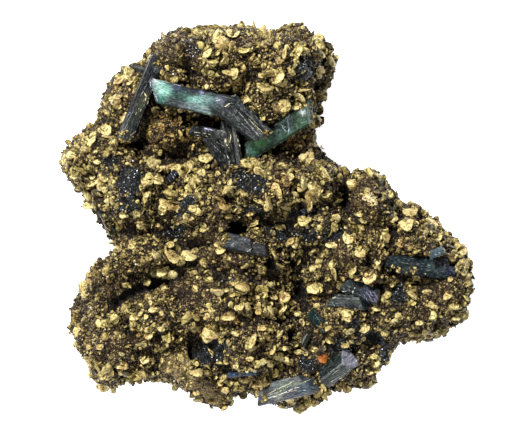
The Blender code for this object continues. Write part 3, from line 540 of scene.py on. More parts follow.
def hollowness(mesh, points, normals):
    """How deep each point lies in a hollow of its surroundings: -1 on a crest, 1 in a pit."""
    flat = np.empty(len(mesh.edges) * 2, np.int32)
    mesh.edges.foreach_get("vertices", flat)
    first, second = flat.reshape(-1, 2).T
    count = np.bincount(flat, minlength=len(points))
    smooth = points.copy()
    for _ in range(HOLLOW_ROUNDS):
        for axis in range(3):
            values = smooth[:, axis]
            total = np.bincount(first, weights=values[second], minlength=len(points))
            total += np.bincount(second, weights=values[first], minlength=len(points))
            smooth[:, axis] = total / count
    depth = ((smooth - points) * normals).sum(axis=1)
    return np.clip(depth / HOLLOW_DEPTH, -1, 1)


def fine_rock():
    """The matrix with the small relief that the CAD leaves out."""
    bm = bmesh.new()
    bm.from_mesh(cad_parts["matrix"].data)
    bmesh.ops.remove_doubles(bm, verts=bm.verts, dist=WELD)
    obj = new_piece("rock", mesh_of(bm, "rock"), "siderite_matrix", "matrix")
    remesh = obj.modifiers.new("remesh", "REMESH")
    remesh.mode = "VOXEL"
    remesh.voxel_size = ROCK_VOXEL
    smooth = obj.modifiers.new("smooth", "SMOOTH")
    smooth.factor = 0.5
    smooth.iterations = 4
    bpy.context.view_layer.update()
    graph = bpy.context.evaluated_depsgraph_get()
    fine = bpy.data.meshes.new_from_object(obj.evaluated_get(graph))
    obj.modifiers.clear()
    obj.data = fine

    points = vertex_array(fine)
    normals = normal_array(fine)
    tan = inside(TAN_ROCK, points) * np.clip(normals[:, 2] * 3 + 0.8, 0, 1)
    relief = 0.75 * field(points, 3.1 * MM, 1) + 0.45 * field(points, 1.5 * MM, 2)
    pitted = np.maximum(field(points, 1.7 * MM, 4) - 0.10, 0) * 2.6
    relief = (relief - pitted) * (1 - 0.75 * tan) + 0.25 * field(points, 0.8 * MM, 3)
    cleft = inside(CLEFTS, points)
    relief -= 0.5 * inside(CREVICES, points) + 2.0 * cleft
    settled = np.clip((points[:, 2] - FLAT_BACK) / FLAT_BACK, 0, 1)
    points += normals * (relief * settled * MM)[:, None]
    points[:, 2] = np.maximum(points[:, 2], 0)
    fine.vertices.foreach_set("co", points.ravel())
    fine.update()
    # How deep each point lies, which the materials use for painted shade; in the clefts it goes above 1 for
    # painted black
    hollow = np.maximum(hollowness(fine, points, normal_array(fine)), inside(CREVICES, points))
    hollow += cleft
    set_values(fine, "hollow", hollow)
    shown = np.clip(np.maximum(normals[:, 2] * 3, (points[:, 2] - WALL) / WALL * 2), 0, 1)
    beside = np.clip(5 * field(points, 7 * MM, 7) - 1, 0, 1) * (1 - shown)
    set_values(fine, "dark", inside(BLACK_DRUSE, points) * shown + beside)
    set_values(fine, "brown", np.maximum(inside(BROWN_CRUST, points), 0.5 * (1 - shown)))
    set_values(fine, "warm", inside(WARM_CRUST, points))
    set_values(fine, "tan", tan)
    fine.polygons.foreach_set("use_smooth", np.full(len(fine.polygons), True))
    fine.materials.clear()
    fine.materials.append(rock_material())
    return obj


def face_values(mesh, name, faces):
    """A vertex value of the rock at the first corner of each of some faces."""
    data = mesh.attributes[name].data
    return [data[mesh.polygons[i].vertices[0]].value for i in faces]


def near_blade(tree, point, margin):
    """Whether a point is within a margin of a vivianite crystal, or over it."""
    if tree.find_nearest(point, margin)[0] is not None:
        return True
    return tree.ray_cast(point, Vector((0, 0, -1)), OVER_BLADE)[0] is not None


def lens_shape(rng, sides, rings, thickness, most_bend):
    """A siderite lens: a disc with two low domes that meet at an uneven, sharp rim."""
    bm = bmesh.new()
    bmesh.ops.create_uvsphere(bm, u_segments=sides, v_segments=rings, radius=1)
    thick = rng.uniform(0.75, 1.2) * thickness
    bend = rng.choice((-1, 1)) * rng.uniform(0.3, 1) * most_bend
    twist = rng.uniform(0, math.pi)
    waves = [(k, rng.uniform(0, 0.15 / k ** 0.4), rng.uniform(0, 6.3)) for k in (2, 3, 5)]
    shift = Vector((thick, bend, twist)) * 30
    # Painted shade: the rim points are darkened, an outline for the shadow in the gaps round each lens
    painted_rim_shade = np.array([0.5 if abs(vert.co.z) < 0.1 else 0 for vert in bm.verts])
    for vert in bm.verts:
        x, y, z = vert.co
        angle = math.atan2(y, x)
        rim = 1 + sum(size * math.sin(k * angle + start) for k, size, start in waves)
        vert.co.x = x * rim
        vert.co.y = y * rim * 0.92
        vert.co.z = math.copysign(thick * z * z, z)
        vert.co.z += bend * (x * math.cos(twist) + y * math.sin(twist)) ** 2
        vert.co += 0.12 * noise.noise_vector(vert.co * 2.4 + shift)
    points, faces = arrays_of(bm)
    stain = np.array([noise.noise(Vector(p) * 1.7 + shift) for p in points])
    spread = points[:, 0] ** 2 + points[:, 1] ** 2
    dot = rng.choice((0, 0, 0.5)) * np.exp(-spread / 0.06)
    # The tone offset of each point: its own stain, lighter towards the rim, a dark dot in some, and the
    # painted shade on the rim
    return points, faces, 0.42 * stain + 0.4 * np.minimum(spread, 1) - 0.17 - dot - painted_rim_shade


def grain_shape(rng):
    """A small blocky crystal grain."""
    bm = bmesh.new()
    bmesh.ops.create_uvsphere(bm, u_segments=4, v_segments=2, radius=1)
    for vert in bm.verts:
        vert.co *= rng.uniform(0.7, 1.3)
    points, faces = arrays_of(bm)
    return points, faces, np.zeros(len(points))


def axes_for(normal, size, flat, rng):
    """Axes of a shape whose own Z points along the normal, spun at random."""
    turn = normal.to_track_quat("Z", "Y").to_matrix()
    turn = turn @ Matrix.Rotation(rng.uniform(0, 2 * math.pi), 3, "Z")
    return np.array(turn) @ np.diag((size, size, size * flat))


def random_lean(rng):
    """A random vector, to lean or shift something by."""
    return Vector([rng.uniform(-1, 1) for _ in range(3)])


def lens_normal(flatness, turn, rng):
    """The direction a disc faces when it is seen with that short over long radius."""
    tilt = math.acos(max(0.05, min(1.0, flatness - 0.06)))
    away = math.radians(turn + rng.choice((90, 90, -90)))
    return Vector((math.sin(tilt) * math.cos(away), math.sin(tilt) * math.sin(away), math.cos(tilt)))


def cast_from_eye(tree, x, y):
    """The place and normal seen at a pixel of the reference view, if any."""
    eye = Vector((*VIEW_MIDDLE, EYE_HEIGHT))
    return tree.ray_cast(eye, (view_point(x, y, REFERENCE_HEIGHT) - eye).normalized())[:2]


def shown_lenses(tree, rng):
    """The lenses that stand out on the main face, each with smaller ones round it."""
    placings = []
    for lens in LENSES + SMALLER_LENSES + [ORANGE_LENS]:
        x, y, radius, flatness, turn = lens
        place, outward = cast_from_eye(tree, x, y)
        if place is None:
            place, outward = tree.find_nearest(view_point(x, y, LOW_HEIGHT))[:2]
        size = radius * PIXEL * LENS_SCALE
        normal = lens_normal(flatness, turn, rng)
        centre = place + (outward * 0.4 + Vector((0, 0, 0.6))) * size * (0.3 + 0.4 * (1 - flatness))
        orange = lens is ORANGE_LENS
        tone = 0.5 if orange else rng.uniform(0.62, 1.0)
        warm = 2 if orange else max(0, rng.uniform(-1.2, 0.5))
        number = rng.randrange(LENS_SHAPES)
        axes = axes_for(normal, size, 1, rng)
        placings.append((number, axes, centre, (tone, 0, warm)))
        for _ in range(rng.choice((1, 2, 2, 3))):
            lean = random_lean(rng)
            small = size * rng.uniform(0.45, 0.75)
            beside = normal.cross(lean).normalized() * size * rng.uniform(0.7, 1.1)
            near, away = tree.find_nearest(centre + beside)[:2]
            spot = near + away * small * 0.3
            facing = (outward + lean * 1.3).normalized()
            mark = (rng.uniform(0.2, 0.8), 0, warm)
            placings.append((rng.randrange(LENS_SHAPES), axes_for(facing, small, 1, rng), spot, mark))
    return placings


def scattered_lenses(rock, blades, count, sizes, dim, rng):
    """Lenses all over the rock, most of them on its crests, few in the druse and on the bare rock. The
    larger dim is, the more of them are dark."""
    mesh = rock.data
    faces = rng.sample(range(len(mesh.polygons)), count * 5)
    centres = np.array([mesh.polygons[i].center for i in faces])
    cluster = field(centres, 3.4 * MM, 6)
    names = ("hollow", "dark", "brown", "tan", "warm")
    placings = []
    for index, place, high, (hollow, druse, brown, bare, warm) in zip(
            faces, centres, cluster, zip(*(face_values(mesh, name, faces) for name in names))):
        normal = mesh.polygons[index].normal
        if len(placings) >= count:
            break
        if place[2] < LOWEST_LENS:
            continue
        chance = 0.85 - 0.25 * hollow - 1.6 * max(hollow - 0.7, 0) + 0.3 * high
        chance *= (1 - 0.93 * druse) * (1 - 0.6 * brown) * (1 - 0.75 * bare)
        if rng.random() > chance or (normal.z < 0.2 and rng.random() < 0.45):
            continue
        size = (sizes[0] + sizes[1] * rng.random() ** 1.8) * MM
        place = Vector(place) + normal.cross(random_lean(rng)) * 0.3 * MM
        if near_blade(blades, place + normal * size * 0.4, size * 0.55):
            continue
        facing = (normal * 0.55 + random_lean(rng)).normalized()
        # Painted shade: lenses in the rock's hollows are darker
        tone = 0.92 * rng.random() ** dim - 0.25 * max(hollow, 0) - 0.15 * brown
        warmth = max(warm, rng.uniform(-1.5, 0.6), 0)
        centre = place + normal * size * 0.38
        number = rng.randrange(LENS_SHAPES)
        placings.append((number, axes_for(facing, size, 1, rng), centre, (tone, 0, warmth)))
    return placings


def grains(rock, blades, count, dark_only, rng):
    """Sugary grains between the lenses, or the denser ones of the black druse."""
    mesh = rock.data
    faces = range(len(mesh.polygons))
    if dark_only:
        faces = [i for i, druse in zip(faces, face_values(mesh, "dark", faces)) if druse > 0.5]
    faces = rng.choices(faces, k=count * 2)
    names = ("dark", "tan", "brown", "hollow")
    placings = []
    for index, (druse, bare, crust, hollow) in zip(
            faces, zip(*(face_values(mesh, name, faces) for name in names))):
        face = mesh.polygons[index]
        if len(placings) >= count:
            break
        if face.center.z < LOWEST_GRAIN or rng.random() < max(bare * 0.5, 1.5 * (hollow - 1)):
            continue
        size = (0.12 + (0.12 if dark_only else 0.2) * rng.random() ** 1.8) * MM
        place = face.center + face.normal.cross(random_lean(rng)) * 0.35 * MM
        if near_blade(blades, place, size):
            continue
        facing = (face.normal + random_lean(rng)).normalized()
        centre = place + face.normal * size * 0.4
        # Painted shade: grains in the rock's hollows are darker
        tone = rng.random() - 0.3 * hollow if druse < 0.5 else rng.random()
        mark = (tone, 1 if druse > 0.5 else 0, crust)
        placings.append((rng.randrange(GRAIN_SHAPES), axes_for(facing, size, 0.8, rng), centre, mark))
    return placings


def grown_over(tree, patches, density, sizes, tones, rng):
    """Small crystals that have grown over patches of the surface that the eye sees."""
    placings = []
    for patch in patches:
        for _ in range(int(patch.across * patch.along * density) + 5):
            angle, reach = rng.uniform(0, 2 * math.pi), math.sqrt(rng.random())
            u, v = math.cos(angle) * reach * patch.across, math.sin(angle) * reach * patch.along
            turn = math.radians(patch.turn)
            x = patch.x + u * math.cos(turn) + v * math.sin(turn)
            y = patch.y - u * math.sin(turn) + v * math.cos(turn)
            place, normal = cast_from_eye(tree, x, y)
            if place is None or rng.random() < 0.3 * reach:
                continue
            size = rng.uniform(*sizes) * MM
            facing = (normal * 0.4 + random_lean(rng)).normalized()
            centre = place + normal * size * 0.15
            mark = (rng.uniform(*tones), 0, max(0, rng.uniform(-0.6, 0.6)))
            placings.append((rng.randrange(GRAIN_SHAPES), axes_for(facing, size, 1, rng), centre, mark))
    return placings


def flat_faces(mesh):
    """The crystal's flat faces as one polygon each."""
    bm = bmesh.new()
    bm.from_mesh(mesh)
    bmesh.ops.remove_doubles(bm, verts=bm.verts, dist=WELD)
    bmesh.ops.dissolve_limit(bm, angle_limit=math.radians(1.5), verts=bm.verts, edges=bm.edges)
    return bm


def longest_way(face):
    """The direction of a face's longest edge, pointing to +X."""
    edge = max(face.edges, key=lambda e: e.calc_length())
    way = (edge.verts[1].co - edge.verts[0].co).normalized()
    return way if way.x > 0 else -way


def span_at(corners, v):
    """Where a line across a polygon, at v, enters and leaves it."""
    hits = []
    for (u0, v0), (u1, v1) in zip(corners, corners[1:] + corners[:1]):
        if (v0 - v) * (v1 - v) < 0:
            hits.append(u0 + (u1 - u0) * (v - v0) / (v1 - v0))
    return (min(hits), max(hits)) if len(hits) >= 2 else None


def add_lath(out, origin, u_axis, v_axis, normal, box, lift, rng):
    """A thin lath lying on a crystal face, with sloping sides and ends."""
    u0, u1, v0, v1 = box
    deep = 0.25 * MM
    corners = []
    for level, inset in ((-deep, 0), (lift, min(0.3 * lift + 0.02 * MM, (v1 - v0) * 0.3))):
        end = inset * rng.uniform(1, 4)
        for u, v in ((u0 + end, v0 + inset), (u1 - end, v0 + inset), (u1 - end, v1 - inset),
                     (u0 + end, v1 - inset)):
            corners.append(out.verts.new(origin + u_axis * u + v_axis * v + normal * level))
    low, high = corners[:4], corners[4:]
    out.faces.new(high)
    for i in range(4):
        out.faces.new((low[i], low[(i + 1) % 4], high[(i + 1) % 4], high[i]))


def add_laths(out, face, looks, rng):
    """Laths side by side along a large face, some of them broken short."""
    u_axis = longest_way(face)
    normal = face.normal.copy()
    v_axis = normal.cross(u_axis)
    origin = face.calc_center_median()
    corners = [((v.co - origin).dot(u_axis), (v.co - origin).dot(v_axis)) for v in face.verts]
    top = max(c[1] for c in corners)
    v = min(c[1] for c in corners) + 0.05 * MM
    while v < top - 0.1 * MM:
        width = rng.uniform(0.12, 0.55) * MM
        reach = span_at(corners, min(v + width / 2, top - 0.01 * MM))
        if reach and reach[1] - reach[0] > 1 * MM:
            length = reach[1] - reach[0]
            u0 = reach[0] + length * rng.choice((0.01, 0.02, 0.03, rng.uniform(0, 0.6)))
            u1 = reach[1] - length * rng.choice((0.01, 0.02, 0.03, rng.uniform(0, 0.6)))
            middle = np.array([origin + u_axis * (u0 + u1) / 2 + v_axis * v])
            keep = 0.7 * looks.lines * (1 - 0.9 * inside(looks.calm, middle)[0])
            if rng.random() < keep and u1 - u0 > 0.6 * MM:
                box = (u0, u1, v, min(v + width, top - 0.03 * MM))
                add_lath(out, origin, u_axis, v_axis, normal, box, rng.uniform(0.03, 0.16) * MM, rng)
        v += width * rng.uniform(0.9, 1.3)


def refine(bm, longest):
    """Halves the edges until none is longer than a greatest length."""
    bmesh.ops.triangulate(bm, faces=bm.faces)
    for _ in range(MOST_CUTS):
        edges = [edge for edge in bm.edges if edge.calc_length() > longest]
        if not edges:
            break
        bmesh.ops.subdivide_edges(bm, edges=edges, cuts=1)
        bmesh.ops.triangulate(bm, faces=bm.faces)


def line_values(bm, main_way, longest):
    """Refines a crystal and gives each of its corners' places across and along its lines."""
    number = bm.faces.layers.int.new("side")
    sides = []
    bm.normal_update()
    for face in bm.faces:
        way = longest_way(face)
        if abs(way.dot(main_way)) < 0.6:
            way = main_way
        face[number] = len(sides)
        sides.append(face.normal.cross(way))
    refine(bm, longest)
    loops = [(face, loop.vert.co) for face in bm.faces for loop in face.loops]
    return [(co.dot(sides[face[number]]) / MM, co.dot(main_way) / MM) for face, co in loops]


def slanted_end(bm, way, x, y):
    """Cuts a crystal off across its way at a pixel of the reference view, and then its upper half
    along a plane that falls outwards. Gives that plane."""
    height = sum(vert.co.z for vert in bm.verts) / len(bm.verts)
    middle = view_point(x, y, height)
    for steepness in (0, END_STEEPNESS):
        normal = (way + Vector((0, 0, steepness))).normalized()
        everything = bm.verts[:] + bm.edges[:] + bm.faces[:]
        cut = bmesh.ops.bisect_plane(
            bm, geom=everything, plane_co=middle, plane_no=normal, clear_outer=True,
        )
        rim = [item for item in cut["geom_cut"] if isinstance(item, bmesh.types.BMEdge)]
        bmesh.ops.holes_fill(bm, edges=rim)
    return np.array(middle), np.array(normal)


def striated_crystal(name, looks, rng):
    """A crystal of the node's size, with worn edges and laths along its faces."""
    bm = flat_faces(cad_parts[name].data)
    laths = bmesh.new()
    main_way = longest_way(max(bm.faces, key=lambda face: face.calc_area()))
    ending = SLANTED_ENDS.get(name)
    if ending:
        end_middle, end_normal = slanted_end(bm, main_way, *ending[:2])
    for face in bm.faces:
        if face.calc_area() > 1.5 * MM * MM and abs(longest_way(face).dot(main_way)) > 0.6:
            add_laths(laths, face, looks, rng)
    bmesh.ops.bevel(bm, geom=bm.edges[:], offset=WORN_EDGE, segments=1, affect="EDGES")
    lines = line_values(bm, main_way, CRYSTAL_EDGE)
    for vert in bm.verts:
        vert.co += UNEVEN * noise.noise_vector(vert.co / (0.9 * MM))
    lines += line_values(laths, main_way, LATH_EDGE)
    laths_mesh = mesh_of(laths, "laths")
    bm.from_mesh(laths_mesh)
    bpy.data.meshes.remove(laths_mesh)
    mesh = mesh_of(bm, name + "_crystal")
    across, along = np.array(lines).T
    set_values(mesh, "across", across, "CORNER")
    set_values(mesh, "along", along, "CORNER")

    points = vertex_array(mesh)
    x, y = view_pixels(points)
    colour = np.tile(srgb(*looks.colour), (len(points), 1))
    for spot_x, spot_y, radius, spot_colour in looks.spots:
        share = np.exp(-((x - spot_x) ** 2 + (y - spot_y) ** 2) / radius ** 2)[:, None]
        colour = colour * (1 - share) + np.array(srgb(*spot_colour)) * share
    if ending:
        colour[np.abs((points - end_middle) @ end_normal) < END_DEPTH] = ending[2]
    paint = mesh.attributes.new("paint", "FLOAT_COLOR", "POINT")
    paint.data.foreach_set("color", np.hstack([colour ** DEEPER, np.ones((len(points), 1))]).ravel())
    set_values(mesh, "lined", looks.lines * (1 - 0.85 * inside(looks.calm, points)))
    mesh.materials.append(vivianite_material(name, looks))
    return new_piece(name + "_crystal", mesh, SLOTS.get(name, "vivianite_dark"), name)


def line_steps(points):
    """Pixels along a line, about one apart, each with the sideways direction and its share of the length."""
    legs = list(zip(points, points[1:]))
    whole = sum(math.dist(a, b) for a, b in legs)
    passed = 0
    for (x0, y0), (x1, y1) in legs:
        length = math.dist((x0, y0), (x1, y1))
        steps = max(1, round(length / 0.9))
        for i in range(steps + 1):
            share = i / steps
            yield (x0 + (x1 - x0) * share, y0 + (y1 - y0) * share,
                   Vector(((y1 - y0) / length, (x1 - x0) / length, 0)), (passed + length * share) / whole)
        passed += length


def streaks(surface, rng):
    """The thin lines as low ridges on the surfaces where they are seen, their pale colours partly painted
    highlights.
    """
    bm = bmesh.new()
    paint = bm.verts.layers.float_color.new("paint")
    for colour, width, points in STREAKS:
        before = None
        for x, y, sideways, share in line_steps(points):
            shift = rng.uniform(-0.25, 0.25)
            place, normal = cast_from_eye(surface, x + sideways.x * shift, y - sideways.y * shift)
            if place is None or rng.random() < 0.1:
                before = None
                continue
            across = (sideways - normal * sideways.dot(normal)).normalized()
            taper = min(1, 0.35 + 5 * min(share, 1 - share))
            half = across * width * PIXEL / 2 * rng.uniform(0.55, 1.15) * taper
            bright = rng.uniform(0.6, 1.1)
            row = []
            for point in (place - half - normal * 0.05 * MM, place + normal * 0.07 * MM,
                          place + half - normal * 0.05 * MM):
                vert = bm.verts.new(point)
                vert[paint] = (*(min(1, part * bright) for part in colour), 1)
                row.append(vert)
            if before and (row[1].co - before[1].co).length < 1 * MM:
                bm.faces.new((before[0], before[1], row[1], row[0]))
                bm.faces.new((before[1], before[2], row[2], row[1]))
            before = row
    bmesh.ops.delete(bm, geom=[vert for vert in bm.verts if not vert.link_faces], context="VERTS")
    mesh = mesh_of(bm, "crystal_streaks")
    mesh.materials.append(streak_material())
    return new_piece("crystal_streaks", mesh, "vivianite_dark")


def tree_of(objects):
    """All the objects' surfaces, for rays and for the nearest place."""
    bm = bmesh.new()
    for obj in objects:
        bm.from_mesh(obj.data)
    tree = BVHTree.FromBMesh(bm)
    bm.free()
    return tree


class Nodes:
    """Short calls to build one material's nodes."""

    def __init__(self, name):
        self.material = bpy.data.materials.new(name)
        self.material.use_nodes = True
        self.tree = self.material.node_tree
        self.shader = self.tree.nodes["Principled BSDF"]
        self.place = self.add("ShaderNodeTexCoord").outputs["Object"]

    def add(self, kind, inputs=None, **settings):
        node = self.tree.nodes.new(kind)
        for key, value in settings.items():
            setattr(node, key, value)
        for key, value in (inputs or {}).items():
            self.put(node.inputs[key], value)
        return node

    def put(self, socket, value):
        if isinstance(value, bpy.types.NodeSocket):
            self.tree.links.new(value, socket)
        elif isinstance(value, tuple) and len(value) == 3 and socket.type == "RGBA":
            socket.default_value = (*value, 1)
        else:
            socket.default_value = value

    def value(self, name):
        return self.add("ShaderNodeAttribute", attribute_name=name).outputs["Fac"]

    def noise(self, size, detail=3, vector=None, rough=0.5):
        made = self.add("ShaderNodeTexNoise", {
            "Vector": vector or self.place, "Scale": 1 / size, "Detail": detail, "Roughness": rough,
        })
        return made.outputs["Fac"]

    def drawn_out(self, along, across):
        """Places on a crystal, scaled along and across its lines."""
        return self.add("ShaderNodeCombineXYZ", {
            "X": self.math("MULTIPLY", self.value("along"), along),
            "Y": self.math("MULTIPLY", self.value("across"), across),
        }).outputs[0]

    def cells(self, size, feature="F1"):
        place = {"Vector": self.place, "Scale": 1 / size}
        return self.add("ShaderNodeTexVoronoi", place, feature=feature).outputs["Distance"]

    def speckle(self, size):
        """A random value in each small cell."""
        made = self.add("ShaderNodeTexVoronoi", {"Vector": self.place, "Scale": 1 / size})
        split = self.add("ShaderNodeSeparateColor", {"Color": made.outputs["Color"]})
        return split.outputs["Red"]

    def ramp(self, factor, *stops):
        """Each stop is its place and its colour as seen on screen."""
        node = self.add("ShaderNodeValToRGB", {"Fac": factor})
        elements = node.color_ramp.elements
        while len(elements) < len(stops):
            elements.new(0.5)
        for element, (at, *colour) in zip(elements, stops):
            element.position = at
            element.color = (*srgb(*colour), 1)
        return node.outputs["Color"]

    def mix(self, factor, first, second, blend="MIX"):
        node = self.add("ShaderNodeMix", data_type="RGBA", blend_type=blend)
        self.put(node.inputs[0], factor)
        self.put(node.inputs[6], first)
        self.put(node.inputs[7], second)
        return node.outputs[2]

    def scale(self, value, low, high, to_low, to_high):
        node = self.add("ShaderNodeMapRange", {
            "Value": value, "From Min": low, "From Max": high, "To Min": to_low, "To Max": to_high,
        })
        return node.outputs["Result"]

    def math(self, operation, first, second=0.0):
        node = self.add("ShaderNodeMath", operation=operation)
        self.put(node.inputs[0], first)
        self.put(node.inputs[1], second)
        return node.outputs[0]

    def times(self, colour, value):
        """A colour made darker or lighter."""
        grey = self.add("ShaderNodeCombineColor", {"Red": value, "Green": value, "Blue": value}).outputs[0]
        return self.mix(1.0, colour, grey, "MULTIPLY")

    def bump(self, height, strength, distance):
        node = self.add("ShaderNodeBump", {"Height": height, "Strength": strength, "Distance": distance})
        return node.outputs["Normal"]

    def shade(self, **inputs):
        for key, value in inputs.items():
            self.put(self.shader.inputs[key.replace("_", " ")], value)
        return self.material


def rock_material():
    """Sugary brown and purplish rock, with black druse, brown crust and smooth tan stretches, and painted
    shade in its hollows and clefts.
    """
    n = Nodes("rock")
    broad = n.noise(3.2 * MM, 4)
    gaps = n.scale(n.cells(GRAIN, "DISTANCE_TO_EDGE"), 0.02, 0.2, 0.35, 1)
    fine = n.math("ADD", n.math("MULTIPLY", n.speckle(GRAIN), 0.8), n.noise(0.4 * MM, 4, rough=0.6))
    fine = n.math("MULTIPLY", n.math("SUBTRACT", fine, 0.3), gaps)
    colour = n.ramp(fine, (0.0, 11, 6, 3), (0.3, 22, 14, 6), (0.55, 60, 46, 22), (0.85, 168, 148, 98))
    purple = n.ramp(fine, (0.0, 12, 6, 6), (0.35, 28, 17, 15), (0.85, 124, 104, 86))
    colour = n.mix(n.scale(broad, 0.42, 0.62, 0, 0.8), colour, purple)
    black = n.ramp(fine, (0.2, 7, 7, 8), (0.6, 27, 29, 30), (0.9, 72, 76, 78))
    colour = n.mix(n.value("dark"), colour, black)
    brown = n.ramp(fine, (0.0, 16, 10, 5), (0.3, 44, 32, 19), (0.55, 86, 70, 43), (0.9, 154, 134, 90))
    colour = n.mix(n.math("MULTIPLY", n.value("brown"), 0.7), colour, brown)
    # Painted shade: the rock is darkened in its hollows and crevices, and painted near black in the clefts
    colour = n.times(colour, n.scale(n.value("hollow"), -0.3, 0.8, 1.0, 0.35))
    colour = n.mix(n.scale(n.value("hollow"), 1.0, 1.6, 0, 0.9), colour, srgb(6, 4, 5))
    tan = n.ramp(fine, (0.0, 52, 42, 26), (0.3, 104, 88, 55), (0.9, 158, 140, 94))
    colour = n.mix(n.value("tan"), colour, tan)
    height = n.math("ADD", gaps, n.noise(0.25 * MM, 3))
    rough = n.scale(n.value("dark"), 0, 1, 0.75, 0.4)
    return n.shade(
        Base_Color=colour, Roughness=rough, Specular_IOR_Level=0.2, Normal=n.bump(height, 0.8, 0.25 * MM),
    )


def siderite_material():
    """Yellow-ochre lenses, stained, spotted and cracked, some of them warmer."""
    n = Nodes("siderite")
    stain = n.noise(0.5 * MM, 4, rough=0.65)
    # The tone carries each lens's painted shade, on its rim and in the rock's hollows
    shade = n.math("ADD", n.math("MULTIPLY", n.value("tone"), 0.82), n.scale(stain, 0.3, 0.7, -0.26, 0.6))
    colour = n.ramp(shade, (0.0, 33, 23, 9), (0.25, 81, 69, 35), (0.5, 138, 122, 70),
                    (0.75, 180, 163, 101), (1.0, 208, 192, 136))
    tint = n.noise(4 * MM, 2)
    colour = n.mix(n.scale(tint, 0.55, 0.7, 0, 0.5), colour, srgb(210, 168, 132), "MULTIPLY")
    colour = n.mix(n.scale(tint, 0.45, 0.3, 0, 0.5), colour, srgb(216, 226, 150), "MULTIPLY")
    colour = n.mix(n.scale(n.value("warm"), 0, 1, 0, 0.4), colour, srgb(244, 200, 140), "MULTIPLY")
    colour = n.mix(n.scale(n.value("warm"), 1, 2, 0, 0.9), colour, srgb(150, 78, 18))
    spotted = n.scale(n.cells(0.7 * MM), 0.10, 0.18, 0.85, 0)
    colour = n.mix(spotted, colour, srgb(40, 30, 24))
    cracks = n.cells(0.95 * MM, "DISTANCE_TO_EDGE")
    cracked = n.math("MULTIPLY", n.scale(cracks, 0.03, 0.09, 0.85, 0), n.scale(stain, 0.6, 0.4, 0, 1))
    colour = n.mix(cracked, colour, srgb(52, 38, 24))
    height = n.math("ADD", n.noise(0.3 * MM, 4, rough=0.6), n.scale(cracks, 0, 0.12, 0, 0.4))
    return n.shade(
        Base_Color=colour, Roughness=0.5, Specular_IOR_Level=0.3, Normal=n.bump(height, 0.7, 0.15 * MM),
    )


def grain_material(name):
    """Small grains from dark brown to white, or black ones in the druse. The whitest are partly white flakes
    and partly painted glints, and the palest black ones are painted sparkles.
    """
    n = Nodes(name)
    tone = n.value("tone")
    colour = n.ramp(tone, (0.0, 12, 8, 4), (0.45, 36, 26, 14), (0.65, 88, 70, 36),
                    (0.84, 150, 130, 76), (0.96, 200, 180, 122), (1.0, 240, 236, 224))
    crust = n.ramp(tone, (0.0, 22, 15, 8), (0.55, 62, 48, 28), (1.0, 152, 130, 92))
    colour = n.mix(n.value("warm"), colour, crust)
    # Painted highlights: the palest tones of the black druse grains are sparkles
    black = n.ramp(tone, (0.0, 10, 10, 11), (0.7, 36, 39, 40), (0.9, 92, 97, 100), (1.0, 214, 218, 220))
    colour = n.mix(n.value("dark"), colour, black)
    rough = n.scale(n.value("dark"), 0, 1, 0.5, 0.22)
    return n.shade(Base_Color=colour, Roughness=rough)


def vivianite_material(name, looks):
    """The crystal's painted colours, broken up by fine lines and fibres along it; the fibres' pale sheen is
    a painted highlight, and the pale lines are partly painted glints.
    """
    n = Nodes(name)
    fine = n.noise(1.0, 3, n.drawn_out(0.14, 4.5), 0.6)
    fibres = n.noise(1.0, 2, n.drawn_out(1.3, 4.0), 0.6)
    cloud = n.noise(1.3 * MM, 4, rough=0.6)
    lined = n.value("lined")
    paint = n.add("ShaderNodeAttribute", attribute_name="paint").outputs["Color"]
    colour = n.times(paint, n.scale(cloud, 0.3, 0.7, 0.7, 1.25))
    colour = n.times(colour, n.scale(fibres, 0.35, 0.65, 0.45, 1.4))
    # Painted highlight: the palest parts of the fibres are lightened as sheen
    colour = n.mix(n.scale(fibres, 0.56, 0.7, 0, 0.18), colour, srgb(196, 206, 204))
    gaps = n.math("MULTIPLY", n.scale(fine, 0.5, 0.4, 0, 0.8), lined)
    colour = n.mix(gaps, colour, srgb(12, 13, 16))
    # Pale lines along the laths: partly the crystal's own pale lines and partly painted glints
    lines = n.math("MULTIPLY", n.scale(fine, 0.6, 0.68, 0, 0.6), lined)
    lines = n.math("MULTIPLY", lines, n.scale(cloud, 0.46, 0.6, 0.05, 1))
    colour = n.mix(lines, colour, srgb(186, 182, 150))
    rough = n.scale(cloud, 0.3, 0.7, looks.rough * 0.5, looks.rough)
    height = n.math("ADD", fine, n.math("MULTIPLY", cloud, 0.5))
    return n.shade(
        Base_Color=colour, Roughness=rough, IOR=1.58, Specular_IOR_Level=0.22,
        Transmission_Weight=looks.clear,
        Normal=n.bump(height, 0.6, 0.09 * MM),
    )


def streak_material():
    # The streaks' pale colours are partly painted highlights
    n = Nodes("streaks")
    paint = n.add("ShaderNodeAttribute", attribute_name="paint").outputs["Color"]
    colour = n.times(paint, n.scale(n.noise(0.5 * MM), 0.35, 0.65, 0.75, 1.1))
    return n.shade(Base_Color=colour, Roughness=0.45)


def floor():
    """A wide white floor that also lights the specimen a little from below."""
    bm = bmesh.new()
    bmesh.ops.create_circle(bm, cap_ends=True, segments=96, radius=FLOOR_RADIUS)
    rim = bmesh.ops.extrude_edge_only(bm, edges=bm.edges[:])["geom"]
    raised = [item for item in rim if isinstance(item, bmesh.types.BMVert)]
    bmesh.ops.translate(bm, vec=(0, 0, FLOOR_RIM), verts=raised)
    mesh = mesh_of(bm, "floor")
    obj = bpy.data.objects.new("floor", mesh)
    bpy.context.scene.collection.objects.link(obj)
    n = Nodes("paper")
    mesh.materials.append(n.shade(
        Base_Color=(0.9, 0.9, 0.9), Roughness=0.9, Emission_Color=(1.0, 1.0, 1.0), Emission_Strength=1.0,
    ))


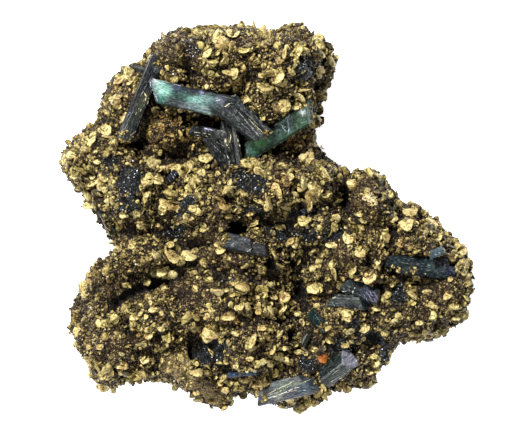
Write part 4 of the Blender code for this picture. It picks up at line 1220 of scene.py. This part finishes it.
def lights():
    """The soft boxes and a faint light from all round."""
    world = bpy.data.worlds.new("studio")
    world.use_nodes = True
    background = world.node_tree.nodes["Background"].inputs
    background["Color"].default_value = (1, 1, 1, 1)
    background["Strength"].default_value = WORLD_LIGHT
    bpy.context.scene.world = world
    for name, (place, size, watts) in LAMPS.items():
        lamp = bpy.data.lights.new(name, "AREA")
        lamp.shape = "SQUARE"
        lamp.size = size
        lamp.energy = watts
        obj = bpy.data.objects.new(name, lamp)
        obj.location = place
        obj.rotation_euler = (Vector(AIM) - obj.location).to_track_quat("-Z", "Y").to_euler()
        bpy.context.scene.collection.objects.link(obj)


def camera_above():
    """The camera at the reference view's eye, looking straight down."""
    camera = bpy.data.cameras.new("camera")
    camera.sensor_width = SENSOR_MM
    camera.lens = SENSOR_MM * (EYE_HEIGHT - REFERENCE_HEIGHT) / (VIEW_WIDTH_PX * PIXEL)
    obj = bpy.data.objects.new("camera", camera)
    obj.location = (*VIEW_MIDDLE, EYE_HEIGHT)
    bpy.context.scene.collection.objects.link(obj)
    bpy.context.scene.camera = obj
    bpy.context.scene.view_settings.view_transform = "Standard"


def main():
    noise.seed_set(SEED)
    floor()
    lights()
    camera_above()
    rock = fine_rock()
    tree = tree_of([rock])
    blades = tree_of([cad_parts[name] for name in CRYSTALS])

    rng = random.Random(SEED)
    shapes = {
        kind: [lens_shape(rng, *form) for count, *form in forms for _ in range(count)]
        for kind, forms in LENS_KINDS.items()
    }
    grain_shapes = [grain_shape(rng) for _ in range(GRAIN_SHAPES)]
    siderite = siderite_material()
    crowd("siderite_large", shapes["large"], shown_lenses(tree, rng), siderite, True)
    for name, (kind, count, sizes, dim) in SCATTERED.items():
        placings = scattered_lenses(rock, blades, count, sizes, dim, rng)
        crowd(name, shapes[kind], placings, siderite, True)
    overgrowth = grown_over(blades, OVERGROWN, *OVERGROWTH, rng)
    crowd("siderite_overgrowth", shapes["small"], overgrowth, siderite, True)
    for name, placings in (
        ("grains", grains(rock, blades, GRAIN_COUNT, False, rng)),
        ("druse", grains(rock, blades, DRUSE_COUNT, True, rng)),
        ("pale_tuft", grown_over(tree, PALE_TUFT, *TUFT_GROWTH, rng)),
    ):
        crowd(name, grain_shapes, placings, grain_material(name), False)
    crystals = [striated_crystal(name, looks, rng) for name, looks in CRYSTALS.items()]
    streaks(tree_of(crystals), rng)


main()
